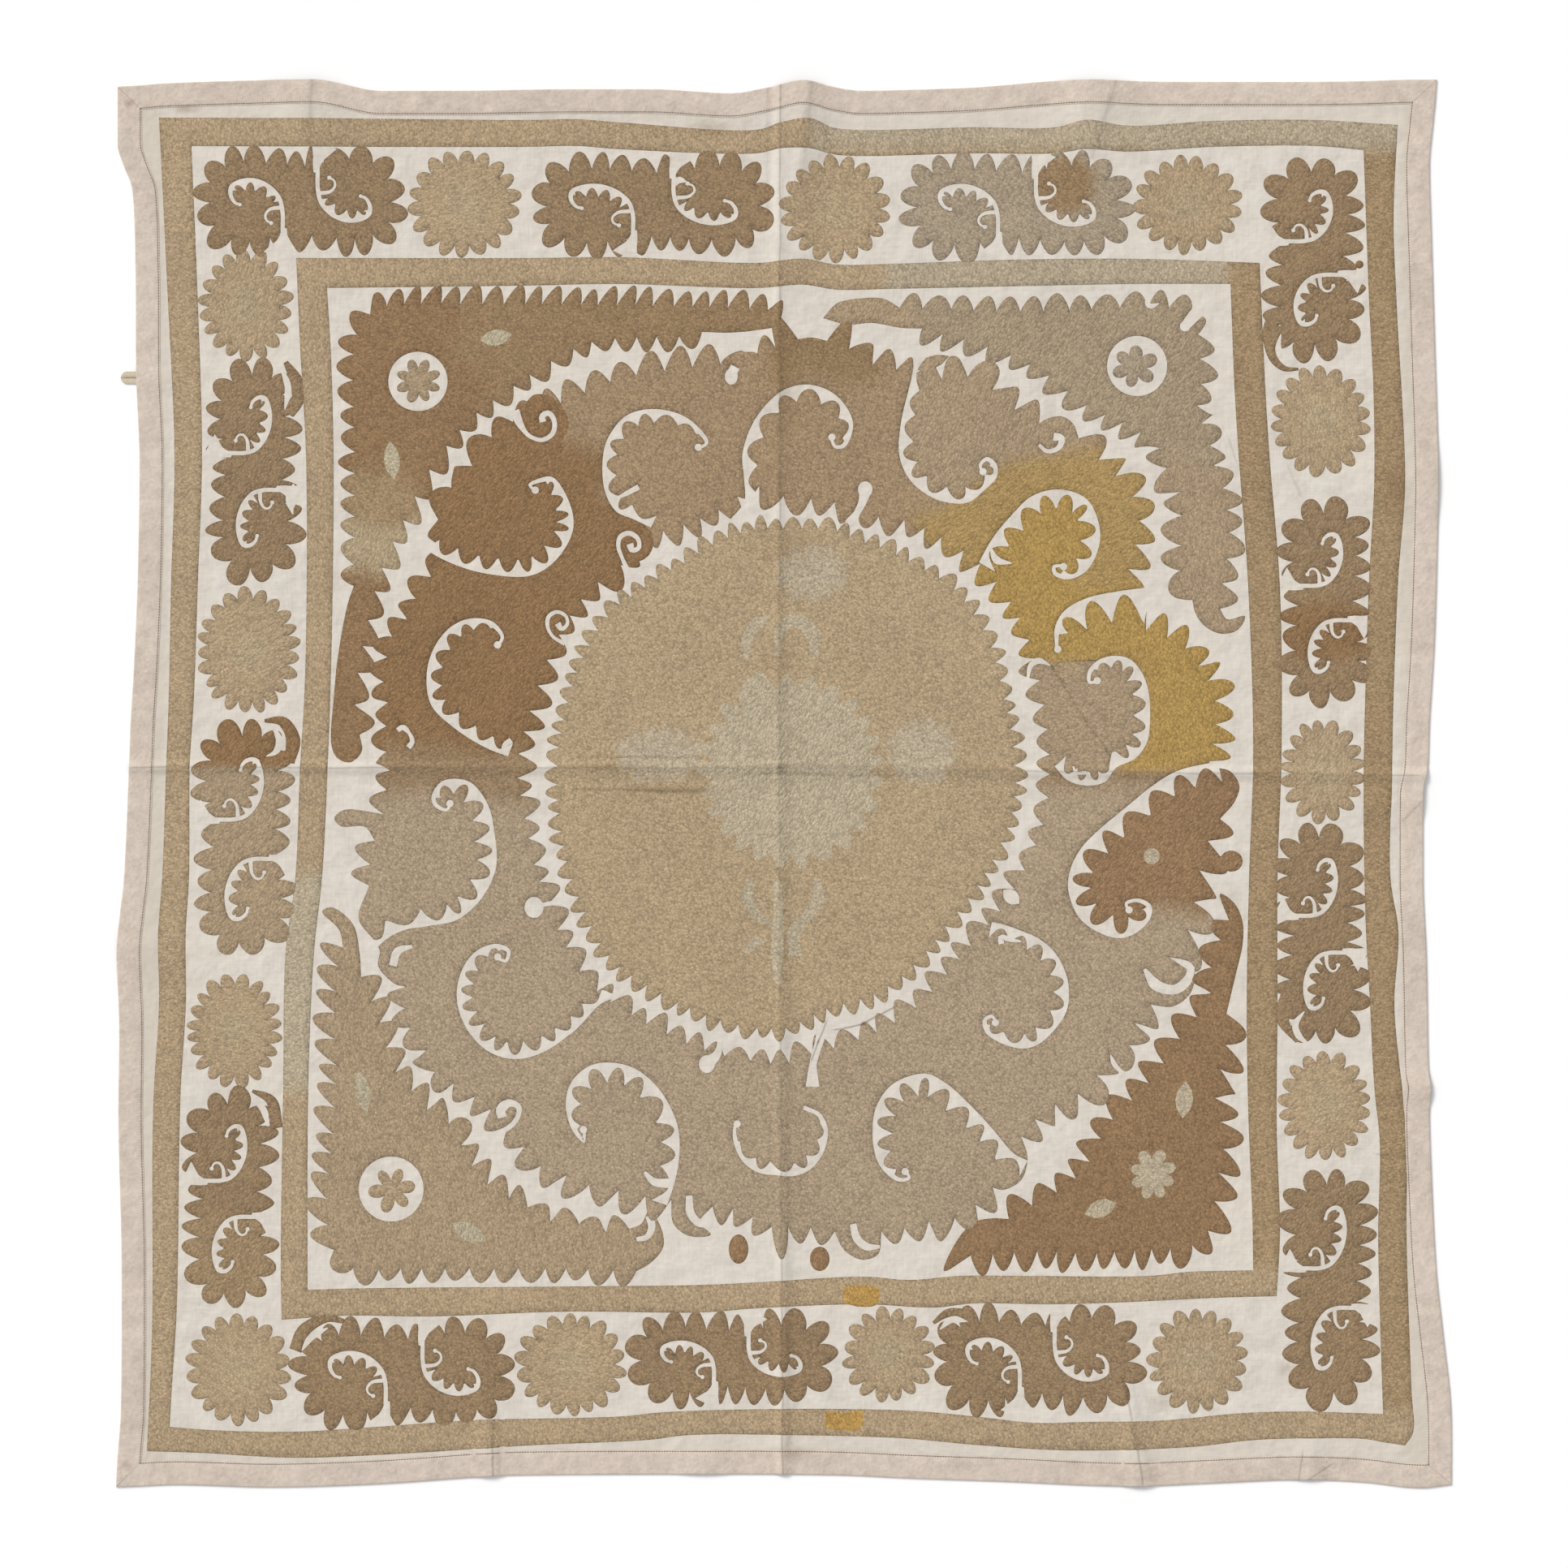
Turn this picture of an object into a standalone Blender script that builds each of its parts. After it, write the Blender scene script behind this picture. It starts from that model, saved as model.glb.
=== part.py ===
"""Embroidered tablecloth lying face up: its ground cloth, four edging strips and hanging loop.

Sizes are in millimetres until a vertex is made. x runs right, y away from the viewer, z up,
and the origin is on the surface under the middle of the cloth.
"""

import math

import bmesh
import bpy

MM = 0.001

# Driving sizes of the cloth.
HALF_WIDTH = 822.5
HALF_LENGTH = 867.5
GROUND_THICK = 1.2
EDGING_THICK = 1.0
EDGING_WIDTH = 30.0
EDGE_WAVE_REACH = 180.0
SEAT_GAP = 0.3
MITRE_GAP = 0.22

# How far each edge lies from its straight line, + outward, at points along it.
TOP_EDGE = [  # along x, outward
    (-820, -9), (-765, -5), (-680, -2), (-580, 0), (-495, -14), (-405, -14), (-260, -12),
    (-165, -12), (-65, -17), (-20, -10), (25, -1), (60, -9), (95, -14), (150, -13), (235, -10),
    (320, -3), (380, 0), (430, -2), (485, -3), (635, -3), (730, -2), (805, 0),
]
BOTTOM_EDGE = [  # along x, outward
    (-822, -1), (-750, -4), (-635, -1), (-500, -5), (-370, -14), (-315, -16), (-100, -17),
    (65, -16), (155, -12), (270, -8), (430, -2), (530, -6), (635, -10), (715, -7), (765, -1),
    (790, 0), (822, -4),
]
LEFT_EDGE = [  # along y, outward
    (-867, 0), (-830, -2), (-775, -6), (-600, -7), (-405, -3), (-305, -4), (-210, -1),
    (-160, -5), (-115, -10), (20, -16), (75, -18), (140, -22), (260, -27), (400, -29),
    (500, -25), (635, -24), (735, -20), (765, -10), (795, -2), (858, -2),
]
RIGHT_EDGE = [  # along y, outward
    (-867, 0), (-765, -1), (-680, -10), (-595, -19), (-450, -26), (-406, -27), (-376, -25),
    (-355, -28), (-210, -31), (-115, -35), (-15, -35), (20, -29), (75, -27), (175, -21),
    (305, -17), (365, -16), (555, -21), (685, -25), (760, -27), (820, -22), (866, -18),
]

# Folds and waves that stand up from the surface, as soft ridges along straight runs.
RIDGES = [  # start x, y, end x, y, half width, height at start, height at end
    (28, 868, 6, 560, 42, 8.0, 1.0),
    (-7, 868, -6, 20, 9, 2.2, 2.0),
    (-4, 20, -1, -868, 11, 2.4, 3.4),
    (-800, 20, -20, 19, 10, 3.0, 2.2),
    (-20, 19, 790, 10, 11, 2.2, 3.0),
    (-580, 870, -588, 700, 70, 7.0, 1.0),
    (380, 870, 392, 720, 62, 7.0, 1.0),
    (790, -14, 660, -20, 34, 5.0, 1.0),
    (798, -376, 690, -372, 26, 5.0, 1.0),
    (806, 375, 700, 372, 60, 4.0, 1.0),
    (-822, -208, -720, -200, 46, 4.0, 1.0),
    (-360, -852, -372, -700, 20, 4.5, 1.0),
    (443, -866, 420, -720, 24, 5.0, 1.0),
    (634, -860, 668, -770, 22, 3.6, 1.0),
    (-95, -850, -110, -760, 40, 3.0, 1.0),
]

# Driving sizes of the hanging loop, a narrow tape doubled and caught under the left edge.
LOOP_Y = 500.0
LOOP_WIDTH = 15.5
LOOP_REACH = 19.0
LOOP_TAIL = 14.0
LOOP_SLIT = 0.8
LOOP_BEND = 5.0
LOOP_THICK = 1.2
LOOP_ARC_STEPS = 14

# The pocket over the loop's tail: full height out to the first size, none at the second.
POCKET_HALF_WIDTH = (9.0, 15.0)
POCKET_DEPTH = (EDGING_WIDTH + 1.0, 2 * EDGING_WIDTH)

# Where the cloth's grid has its lines, so that folds and waves fall on them.
GRID_SPACING = 30.0
COLUMN_MARKS = (-765, -580, -360, -100, -18, -12, -6, -1, 6, 28, 50, 70, 95, 380, 440, 640, 765)
ROW_MARKS = (
    -810, -376, -208, -110, -14, -4, 5, 10, 15, 20, 26, 34, 75, 140, 375,
    LOOP_Y - POCKET_HALF_WIDTH[1], LOOP_Y - POCKET_HALF_WIDTH[0],
    LOOP_Y + POCKET_HALF_WIDTH[0], LOOP_Y + POCKET_HALF_WIDTH[1], 640, 765, 800,
)

CLOTH_SRGB = (216, 208, 197)
EDGING_SRGB = (211, 198, 184)
LOOP_SRGB = (206, 194, 172)
CLOTH_ROUGHNESS = 0.92
EDGING_ROUGHNESS = 0.9
LOOP_ROUGHNESS = 0.9
SHARP_ANGLE = math.radians(40)


def smooth_step(low, high, value):
    """0 below low, 1 above high, with an even curve between."""
    t = min(max((value - low) / (high - low), 0.0), 1.0)
    return t * t * (3.0 - 2.0 * t)


def along(table, at):
    """The table's value at a place, on a smooth curve through its points, level at each peak."""
    if at <= table[0][0]:
        return table[0][1]
    if at >= table[-1][0]:
        return table[-1][1]
    i = next(k for k in range(len(table) - 1) if at <= table[k + 1][0])
    (x0, v0), (x1, v1) = table[i], table[i + 1]

    def slope(k):
        before, after = table[max(k - 1, 0)], table[min(k + 1, len(table) - 1)]
        if (table[k][1] - before[1]) * (after[1] - table[k][1]) <= 0:
            return 0.0
        return (after[1] - before[1]) / (after[0] - before[0])

    run = x1 - x0
    t = (at - x0) / run
    rise = (2 * t**3 - 3 * t**2 + 1) * v0 + (3 * t**2 - 2 * t**3) * v1
    bend = (t**3 - 2 * t**2 + t) * slope(i) + (t**3 - t**2) * slope(i + 1)
    return rise + bend * run


def edge_pull(distance):
    """How much of an edge's wave is felt this far in from it: all of it across the edging."""
    return 1.0 - smooth_step(EDGING_WIDTH, EDGE_WAVE_REACH, distance)


def place(x, y):
    """Moves a point of the straight rectangle to where the uneven cloth has it."""
    left = along(LEFT_EDGE, y) * edge_pull(HALF_WIDTH + x)
    right = along(RIGHT_EDGE, y) * edge_pull(HALF_WIDTH - x)
    top = along(TOP_EDGE, x) * edge_pull(HALF_LENGTH - y)
    bottom = along(BOTTOM_EDGE, x) * edge_pull(HALF_LENGTH + y)
    return x - left + right, y + top - bottom


def ridge_height(x, y):
    """Height of the folds and waves above the surface."""
    height = 0.0
    for x0, y0, x1, y1, half_width, start, end in RIDGES:
        dx, dy = x1 - x0, y1 - y0
        t = ((x - x0) * dx + (y - y0) * dy) / (dx * dx + dy * dy)
        t = min(max(t, 0.0), 1.0)
        off = math.hypot(x - x0 - t * dx, y - y0 - t * dy) / half_width
        if off < 1.0:
            height += (start + t * (end - start)) * (1.0 - off * off) ** 2
    return height


def pocket_height(inset, y):
    """Height of the left edge's underside over the loop's tail, which it covers."""
    across = 1.0 - smooth_step(*POCKET_HALF_WIDTH, abs(y - LOOP_Y))
    inward = 1.0 - smooth_step(*POCKET_DEPTH, inset)
    return (LOOP_THICK + SEAT_GAP) * across * inward


def lifted(u, v, height):
    """A vertex over a point of the straight rectangle, this high above the cloth's underside.

    The edging is stiff across its width, so there a ridge keeps the height it has beside it.
    """
    inner_width, inner_length = HALF_WIDTH - POCKET_DEPTH[0], HALF_LENGTH - POCKET_DEPTH[0]
    beside = place(
        min(max(u, -inner_width), inner_width), min(max(v, -inner_length), inner_length)
    )
    x, y = place(u, v)
    z = ridge_height(*beside) + pocket_height(HALF_WIDTH + u, v) + height
    return x * MM, y * MM, z * MM


def grid_lines(half, marks):
    """Grid line positions: the cloth's rim, lines under the edging, the marks, and even fill."""
    border = [EDGING_THICK + SEAT_GAP, *POCKET_DEPTH]
    fixed = sorted([b - half for b in border] + [half - b for b in border] + list(marks))
    lines = []
    for low, high in zip(fixed, fixed[1:]):
        parts = math.ceil((high - low) / GRID_SPACING)
        lines += [low + (high - low) * k / parts for k in range(parts)]
    return lines + [fixed[-1]]


def make_material(name, srgb, roughness):
    """A plain cloth material of the given sRGB colour."""
    material = bpy.data.materials.new(name)
    material.use_nodes = True
    shader = material.node_tree.nodes["Principled BSDF"]
    levels = [c / 255 for c in srgb]
    linear = [c / 12.92 if c <= 0.04045 else ((c + 0.055) / 1.055) ** 2.4 for c in levels]
    shader.inputs["Base Color"].default_value = (*linear, 1.0)
    shader.inputs["Roughness"].default_value = roughness
    shader.inputs["Metallic"].default_value = 0.0
    return material


def add_object(name, mesh_data, material):
    """Turns a bmesh into an object of the scene and gives it its material."""
    bmesh.ops.recalc_face_normals(mesh_data, faces=mesh_data.faces)
    mesh = bpy.data.meshes.new(name)
    mesh_data.to_mesh(mesh)
    mesh_data.free()
    mesh.materials.append(material)
    mesh.shade_smooth()
    mesh.set_sharp_from_angle(angle=SHARP_ANGLE)
    bpy.context.scene.collection.objects.link(bpy.data.objects.new(name, mesh))


def make_cloth():
    """The ground as one closed sheet: an upper and a lower grid, joined around the rim."""
    columns = grid_lines(HALF_WIDTH, COLUMN_MARKS)
    rows = grid_lines(HALF_LENGTH, ROW_MARKS)
    mesh_data = bmesh.new()
    new_vert = mesh_data.verts.new
    lower = [[new_vert(lifted(u, v, 0.0)) for u in columns] for v in rows]
    upper = [[new_vert(lifted(u, v, GROUND_THICK)) for u in columns] for v in rows]
    last_row, last_column = len(rows) - 1, len(columns) - 1
    for r in range(last_row):
        for c in range(last_column):
            corners = [(r, c), (r, c + 1), (r + 1, c + 1), (r + 1, c)]
            mesh_data.faces.new([upper[i][j] for i, j in corners])
            mesh_data.faces.new([lower[i][j] for i, j in reversed(corners)])
    rim = [(0, c) for c in range(last_column)]
    rim += [(r, last_column) for r in range(last_row)]
    rim += [(last_row, c) for c in range(last_column, 0, -1)]
    rim += [(r, 0) for r in range(last_row, 0, -1)]
    for (i, j), (k, m) in zip(rim, rim[1:] + rim[:1]):
        mesh_data.faces.new([lower[i][j], lower[k][m], upper[k][m], upper[i][j]])
    add_object("cloth", mesh_data, make_material("cloth ground", CLOTH_SRGB, CLOTH_ROUGHNESS))


def edging_point(side, inset, run):
    """The straight rectangle's point this far in from a side and this far along it."""
    if side in ("left", "right"):
        sign = -1 if side == "left" else 1
        return sign * (HALF_WIDTH - inset), run
    sign = -1 if side == "bottom" else 1
    return run, sign * (HALF_LENGTH - inset)


def make_edging(side, material):
    """One edging strip: it lies on the cloth's rim and turns down over it, mitred at its ends."""
    half, marks = (HALF_LENGTH, ROW_MARKS) if side in ("left", "right") else (HALF_WIDTH, COLUMN_MARKS)
    under = GROUND_THICK + SEAT_GAP
    top = under + EDGING_THICK
    section = [  # outside: inset, height; inside: inset, height
        (0.0, 0.0, EDGING_THICK, 0.0),
        (0.0, top, EDGING_THICK, under),
        (EDGING_WIDTH, top, EDGING_WIDTH, under),
    ]
    runs = [run for run in grid_lines(half, marks) if abs(run) < half - EDGING_WIDTH - SEAT_GAP]
    mesh_data = bmesh.new()

    def ring(run, end=0):
        """The section's vertices at a place along the side, slanted at an end."""
        verts = []
        for columns in (section, section[::-1]):
            for outside_inset, outside_height, inside_inset, inside_height in columns:
                outside = columns is section
                inset = outside_inset if outside else inside_inset
                height = outside_height if outside else inside_height
                at = end * (half - inset - MITRE_GAP) if end else run
                verts.append(mesh_data.verts.new(lifted(*edging_point(side, inset, at), height)))
        return verts

    rings = [ring(0.0, -1)] + [ring(run) for run in runs] + [ring(0.0, 1)]
    count = 2 * len(section)
    for low, high in zip(rings, rings[1:]):
        for k in range(count):
            m = (k + 1) % count
            mesh_data.faces.new([low[k], low[m], high[m], high[k]])
    for end in (rings[0], rings[-1]):
        for k in range(len(section) - 1):
            mesh_data.faces.new([end[k], end[k + 1], end[count - 2 - k], end[count - 1 - k]])
    add_object(f"edging_{side}", mesh_data, material)


def make_loop():
    """The hanging loop: a doubled tape with a round bend, its two legs side by side."""
    edge = -HALF_WIDTH - along(LEFT_EDGE, LOOP_Y)
    root = edge + LOOP_TAIL
    radius = LOOP_WIDTH / 2
    bend_x = edge - LOOP_REACH + radius
    slit_end = edge - LOOP_REACH + LOOP_BEND
    outline = [(root, radius)]
    for k in range(LOOP_ARC_STEPS + 1):
        angle = math.pi / 2 + math.pi * k / LOOP_ARC_STEPS
        outline.append((bend_x + radius * math.cos(angle), radius * math.sin(angle)))
    half_slit = LOOP_SLIT / 2
    outline += [(root, -radius), (root, -half_slit), (slit_end, -half_slit)]
    outline += [(slit_end, half_slit), (root, half_slit)]
    mesh_data = bmesh.new()
    verts = [mesh_data.verts.new((x * MM, (LOOP_Y + y) * MM, 0.0)) for x, y in outline]
    face = mesh_data.faces.new(verts)
    raised = bmesh.ops.extrude_face_region(mesh_data, geom=[face])["geom"]
    for item in raised:
        if isinstance(item, bmesh.types.BMVert):
            item.co.z = LOOP_THICK * MM
    add_object("hanging_loop", mesh_data, make_material("loop tape", LOOP_SRGB, LOOP_ROUGHNESS))


def main():
    for old in list(bpy.data.objects):
        bpy.data.objects.remove(old)
    make_cloth()
    edging = make_material("edging cotton", EDGING_SRGB, EDGING_ROUGHNESS)
    for side in ("top", "bottom", "left", "right"):
        make_edging(side, edging)
    make_loop()


main()
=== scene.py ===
"""The looks of the embroidered tablecloth: cloth, edging, loop, embroidery, light and camera.

Sizes are in millimetres until a mesh is made. World x runs right, y up the cloth, z up.
The embroidery is laid out on a pattern sheet, x right and y down, of the photograph's size,
at 1 mm for each of its pixels, with the cloth's middle at (965.5, 965.5).
"""

import math

import bmesh
import bpy
import numpy as np
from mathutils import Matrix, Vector
from mathutils.geometry import delaunay_2d_cdt
from mathutils.kdtree import KDTree


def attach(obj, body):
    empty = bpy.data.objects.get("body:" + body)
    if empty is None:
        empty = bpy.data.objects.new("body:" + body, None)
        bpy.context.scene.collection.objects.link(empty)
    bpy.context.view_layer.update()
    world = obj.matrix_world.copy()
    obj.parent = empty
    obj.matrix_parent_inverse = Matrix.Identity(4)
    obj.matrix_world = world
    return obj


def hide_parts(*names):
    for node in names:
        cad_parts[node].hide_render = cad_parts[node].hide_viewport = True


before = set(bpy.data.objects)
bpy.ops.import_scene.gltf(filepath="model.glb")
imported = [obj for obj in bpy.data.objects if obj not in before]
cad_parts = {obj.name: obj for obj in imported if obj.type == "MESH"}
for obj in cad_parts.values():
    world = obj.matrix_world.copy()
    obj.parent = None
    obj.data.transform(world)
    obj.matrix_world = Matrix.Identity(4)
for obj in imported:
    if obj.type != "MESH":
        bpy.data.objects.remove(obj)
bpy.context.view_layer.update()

MM = 0.001
SHEET_MIDDLE = 965.5

# Sizes of the cloth, the same as in the part's source.
HALF_WIDTH = 822.5
HALF_LENGTH = 867.5
GROUND_THICK = 1.2
EDGING_THICK = 1.0
EDGING_WIDTH = 30.0
EDGE_WAVE_REACH = 180.0
SEAT_GAP = 0.3
RIM = EDGING_THICK + SEAT_GAP
UNDER_EDGING = GROUND_THICK + SEAT_GAP
MITRE_GAP = 0.22
TOP_EDGE = [
    (-820, -9), (-765, -5), (-680, -2), (-580, 0), (-495, -14), (-405, -14), (-260, -12),
    (-165, -12), (-65, -17), (-20, -10), (25, -1), (60, -9), (95, -14), (150, -13), (235, -10),
    (320, -3), (380, 0), (430, -2), (485, -3), (635, -3), (730, -2), (805, 0),
]
BOTTOM_EDGE = [
    (-822, -1), (-750, -4), (-635, -1), (-500, -5), (-370, -14), (-315, -16), (-100, -17),
    (65, -16), (155, -12), (270, -8), (430, -2), (530, -6), (635, -10), (715, -7), (765, -1),
    (790, 0), (822, -4),
]
LEFT_EDGE = [
    (-867, 0), (-830, -2), (-775, -6), (-600, -7), (-405, -3), (-305, -4), (-210, -1),
    (-160, -5), (-115, -10), (20, -16), (75, -18), (140, -22), (260, -27), (400, -29),
    (500, -25), (635, -24), (735, -20), (765, -10), (795, -2), (858, -2),
]
RIGHT_EDGE = [
    (-867, 0), (-765, -1), (-680, -10), (-595, -19), (-450, -26), (-406, -27), (-376, -25),
    (-355, -28), (-210, -31), (-115, -35), (-15, -35), (20, -29), (75, -27), (175, -21),
    (305, -17), (365, -16), (555, -21), (685, -25), (760, -27), (820, -22), (866, -18),
]
RIDGES = [  # start x, y, end x, y, half width, height at start, height at end
    (28, 868, 6, 560, 42, 8.0, 1.0),
    (-7, 868, -6, 20, 9, 2.2, 2.0),
    (-4, 20, -1, -868, 11, 2.4, 3.4),
    (-800, 20, -20, 19, 10, 3.0, 2.2),
    (-20, 19, 790, 10, 11, 2.2, 3.0),
    (-580, 870, -588, 700, 70, 7.0, 1.0),
    (380, 870, 392, 720, 62, 7.0, 1.0),
    (790, -14, 660, -20, 34, 5.0, 1.0),
    (798, -376, 690, -372, 26, 5.0, 1.0),
    (806, 375, 700, 372, 60, 4.0, 1.0),
    (-822, -208, -720, -200, 46, 4.0, 1.0),
    (-360, -852, -372, -700, 20, 4.5, 1.0),
    (443, -866, 420, -720, 24, 5.0, 1.0),
    (634, -860, 668, -770, 22, 3.6, 1.0),
    (-95, -850, -110, -760, 40, 3.0, 1.0),
]
LOOP_Y = 500.0
LOOP_WIDTH = 15.5
LOOP_REACH = 19.0
LOOP_TAIL = 14.0
LOOP_SLIT = 0.8
LOOP_THICK = 1.2
LOOP_LEG_STEPS = 24
LOOP_BEND_STEPS = 18
POCKET_HALF_WIDTH = (9.0, 15.0)
POCKET_DEPTH = (EDGING_WIDTH + 1.0, 2 * EDGING_WIDTH)
FOLD_COLUMNS = (-20, -17, -14, -11, -9, -7, -5, -3, -1, 2, 5, 8, 11)
FOLD_ROWS = (-4, 0, 3, 6, 8, 10, 12, 14, 16, 18, 20, 22, 24, 27, 31)

# How finely the visible pieces are made.
CLOTH_SPACING = 9.0
FILL_SPACING = 7.0
CURVE_SPACING = 1.2
OUTLINE_SPACING = 2.6
THREAD_HEIGHT = 0.75
THREAD_LIFT = 0.05
THREAD_SHOULDER = 0.9
RIM_SHADE_REACH = 1.3
BESIDE_OUTLINE = 1.5
BESIDE_CLEARANCE = 1.05
FILL_ROW = 0.866  # height of a row of even triangles, over their side
FILL_CLEARANCE = 3.4
FILL_CELL = 2.0
FOLD_STEP = 6.0
FOLD_OFFSETS = (-0.9, -0.6, -0.3, 0.0, 0.3, 0.6, 0.9)
BROAD_RIDGE = 30
PETAL_POWER = 0.95
PETAL_CLEARANCE = 5.2
HOOK_WIDTH = 3.2

# Colours, as sRGB levels.
GROUND = (224, 216, 205)
EDGING = (220, 205, 191)
TAPE = (208, 195, 172)
BROWN = (150, 126, 97)
RING_BROWN = (143, 113, 80)
RING_TAN = (162, 138, 109)
CAP_BROWN = (148, 123, 92)
RING_GREY = (171, 152, 127)
ROSE_TAN = (168, 147, 120)
GREY = (168, 152, 130)
TAN = (170, 149, 121)
WARM_TAN = (152, 126, 95)
LEAF_BROWN = (147, 118, 87)
LEAF_TAN = (160, 136, 105)
DARK_TAN = (154, 130, 101)
GREY_TAN = (165, 147, 122)
MUSTARD = (175, 144, 85)
PATCH = (183, 146, 84)
MUSTARD_TAN = (171, 143, 94)
STRIPE = (177, 155, 125)
STRIPE_RIGHT = (163, 139, 107)
STRIPE_GREY = (179, 164, 140)
MEDALLION = (178, 157, 126)
PALE = (184, 170, 145)
PALE_CENTRE = (178, 159, 129)
PALE_MEDALLION = (184, 169, 145)
SCROLL_BROWN = (150, 120, 89)
GREEN_GREY = (181, 170, 144)
# Grey-blue painted shade of the ground's puckers.
PUCKER_SHADE_GREY = (214, 211, 208)
WARM_GROUND = (216, 203, 186)
MARGIN_GROUND = (208, 197, 182)
GROUND_STAIN = (150, 130, 105)
PALE_EDGING = (214, 205, 194)
EDGING_DIRT = (172, 146, 116)
EDGING_STAIN = (140, 118, 96)
THREAD_STAIN = (126, 98, 68)
# Dark sewing thread, partly darkened as painted shade of its seam.
SEWING_AND_SEAM_SHADE = (112, 98, 84)


# Shapes of the cloth, for arrays of places

def smooth_step(low, high, value):
    """0 below low, 1 above high, with an even curve between."""
    t = np.clip((value - low) / (high - low), 0.0, 1.0)
    return t * t * (3.0 - 2.0 * t)


def along(table, at):
    """The table's values at places, on a smooth curve through its points, level at each peak."""
    places = np.array([row[0] for row in table], float)
    values = np.array([row[1] for row in table], float)
    before, after = np.r_[values[:1], values[:-1]], np.r_[values[1:], values[-1:]]
    gap = np.r_[places[1:], places[-1:]] - np.r_[places[:1], places[:-1]]
    slope = np.where((values - before) * (after - values) <= 0, 0.0, (after - before) / gap)
    at = np.clip(at, places[0], places[-1])
    i = np.clip(np.searchsorted(places, at, side="left") - 1, 0, len(places) - 2)
    run = places[i + 1] - places[i]
    t = (at - places[i]) / run
    rise = (2 * t**3 - 3 * t**2 + 1) * values[i] + (3 * t**2 - 2 * t**3) * values[i + 1]
    bend = (t**3 - 2 * t**2 + t) * slope[i] + (t**3 - t**2) * slope[i + 1]
    return rise + bend * run


def edge_pull(distance):
    """How much of an edge's wave is felt this far in from it: all of it across the edging."""
    return 1.0 - smooth_step(EDGING_WIDTH, EDGE_WAVE_REACH, distance)


def place(x, y):
    """Moves points of the straight rectangle to where the uneven cloth has them."""
    left = along(LEFT_EDGE, y) * edge_pull(HALF_WIDTH + x)
    right = along(RIGHT_EDGE, y) * edge_pull(HALF_WIDTH - x)
    top = along(TOP_EDGE, x) * edge_pull(HALF_LENGTH - y)
    bottom = along(BOTTOM_EDGE, x) * edge_pull(HALF_LENGTH + y)
    return x - left + right, y + top - bottom


def ridge_height(x, y):
    """Height of the folds and waves above the surface."""
    height = np.zeros(np.broadcast(x, y).shape)
    for x0, y0, x1, y1, half_width, start, end in RIDGES:
        dx, dy = x1 - x0, y1 - y0
        t = np.clip(((x - x0) * dx + (y - y0) * dy) / (dx * dx + dy * dy), 0.0, 1.0)
        off = np.hypot(x - x0 - t * dx, y - y0 - t * dy) / half_width
        height += np.where(off < 1.0, (start + t * (end - start)) * (1.0 - off * off) ** 2, 0.0)
    return height


def pocket_height(inset, y):
    """Height of the left edge's underside over the loop's tail, which it covers."""
    across = 1.0 - smooth_step(*POCKET_HALF_WIDTH, np.abs(y - LOOP_Y))
    inward = 1.0 - smooth_step(*POCKET_DEPTH, inset)
    return (LOOP_THICK + SEAT_GAP) * across * inward


def lifted(u, v, height):
    """Points over the straight rectangle, this high above the cloth's underside."""
    inner_width, inner_length = HALF_WIDTH - POCKET_DEPTH[0], HALF_LENGTH - POCKET_DEPTH[0]
    beside = place(np.clip(u, -inner_width, inner_width), np.clip(v, -inner_length, inner_length))
    x, y = place(u, v)
    return x, y, ridge_height(*beside) + pocket_height(HALF_WIDTH + u, v) + height


def cloth_top(x, y):
    """Height of the ground's upper side at world places inside the edging."""
    shift = along(LEFT_EDGE, y)
    inset = HALF_WIDTH + x + shift * edge_pull(HALF_WIDTH + x + shift)
    return ridge_height(x, y) + pocket_height(inset, y) + GROUND_THICK


# Meshes

def make_mesh(name, verts, faces, smooth_angle=40, closed=True):
    """An object made of vertices in millimetres and faces, smooth but for its sharp edges."""
    mesh = bpy.data.meshes.new(name)
    mesh.from_pydata((np.asarray(verts) * MM).tolist(), [], faces)
    if closed:
        work = bmesh.new()
        work.from_mesh(mesh)
        bmesh.ops.recalc_face_normals(work, faces=work.faces)
        work.to_mesh(mesh)
        work.free()
    mesh.update()
    mesh.shade_smooth()
    mesh.set_sharp_from_angle(angle=math.radians(smooth_angle))
    made = bpy.data.objects.new(name, mesh)
    bpy.context.scene.collection.objects.link(made)
    return made


def grid_lines(half, marks):
    """Positions of the grid lines that the cloth and its edging share along one direction."""
    ends = [half, half - RIM, half - EDGING_WIDTH - SEAT_GAP]
    ends += [half - depth for depth in POCKET_DEPTH]
    fixed = sorted({*ends, *[-end for end in ends], *marks})
    lines = []
    for a, b in zip(fixed, fixed[1:]):
        parts = math.ceil((b - a) / CLOTH_SPACING)
        lines += [a + (b - a) * k / parts for k in range(parts)]
    return np.array(lines + [half])


POCKET_ROWS = tuple(LOOP_Y + side * reach for side in (-1, 1) for reach in (0, *POCKET_HALF_WIDTH))
COLUMNS = grid_lines(HALF_WIDTH, FOLD_COLUMNS)
ROWS = grid_lines(HALF_LENGTH, FOLD_ROWS + POCKET_ROWS)


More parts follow.
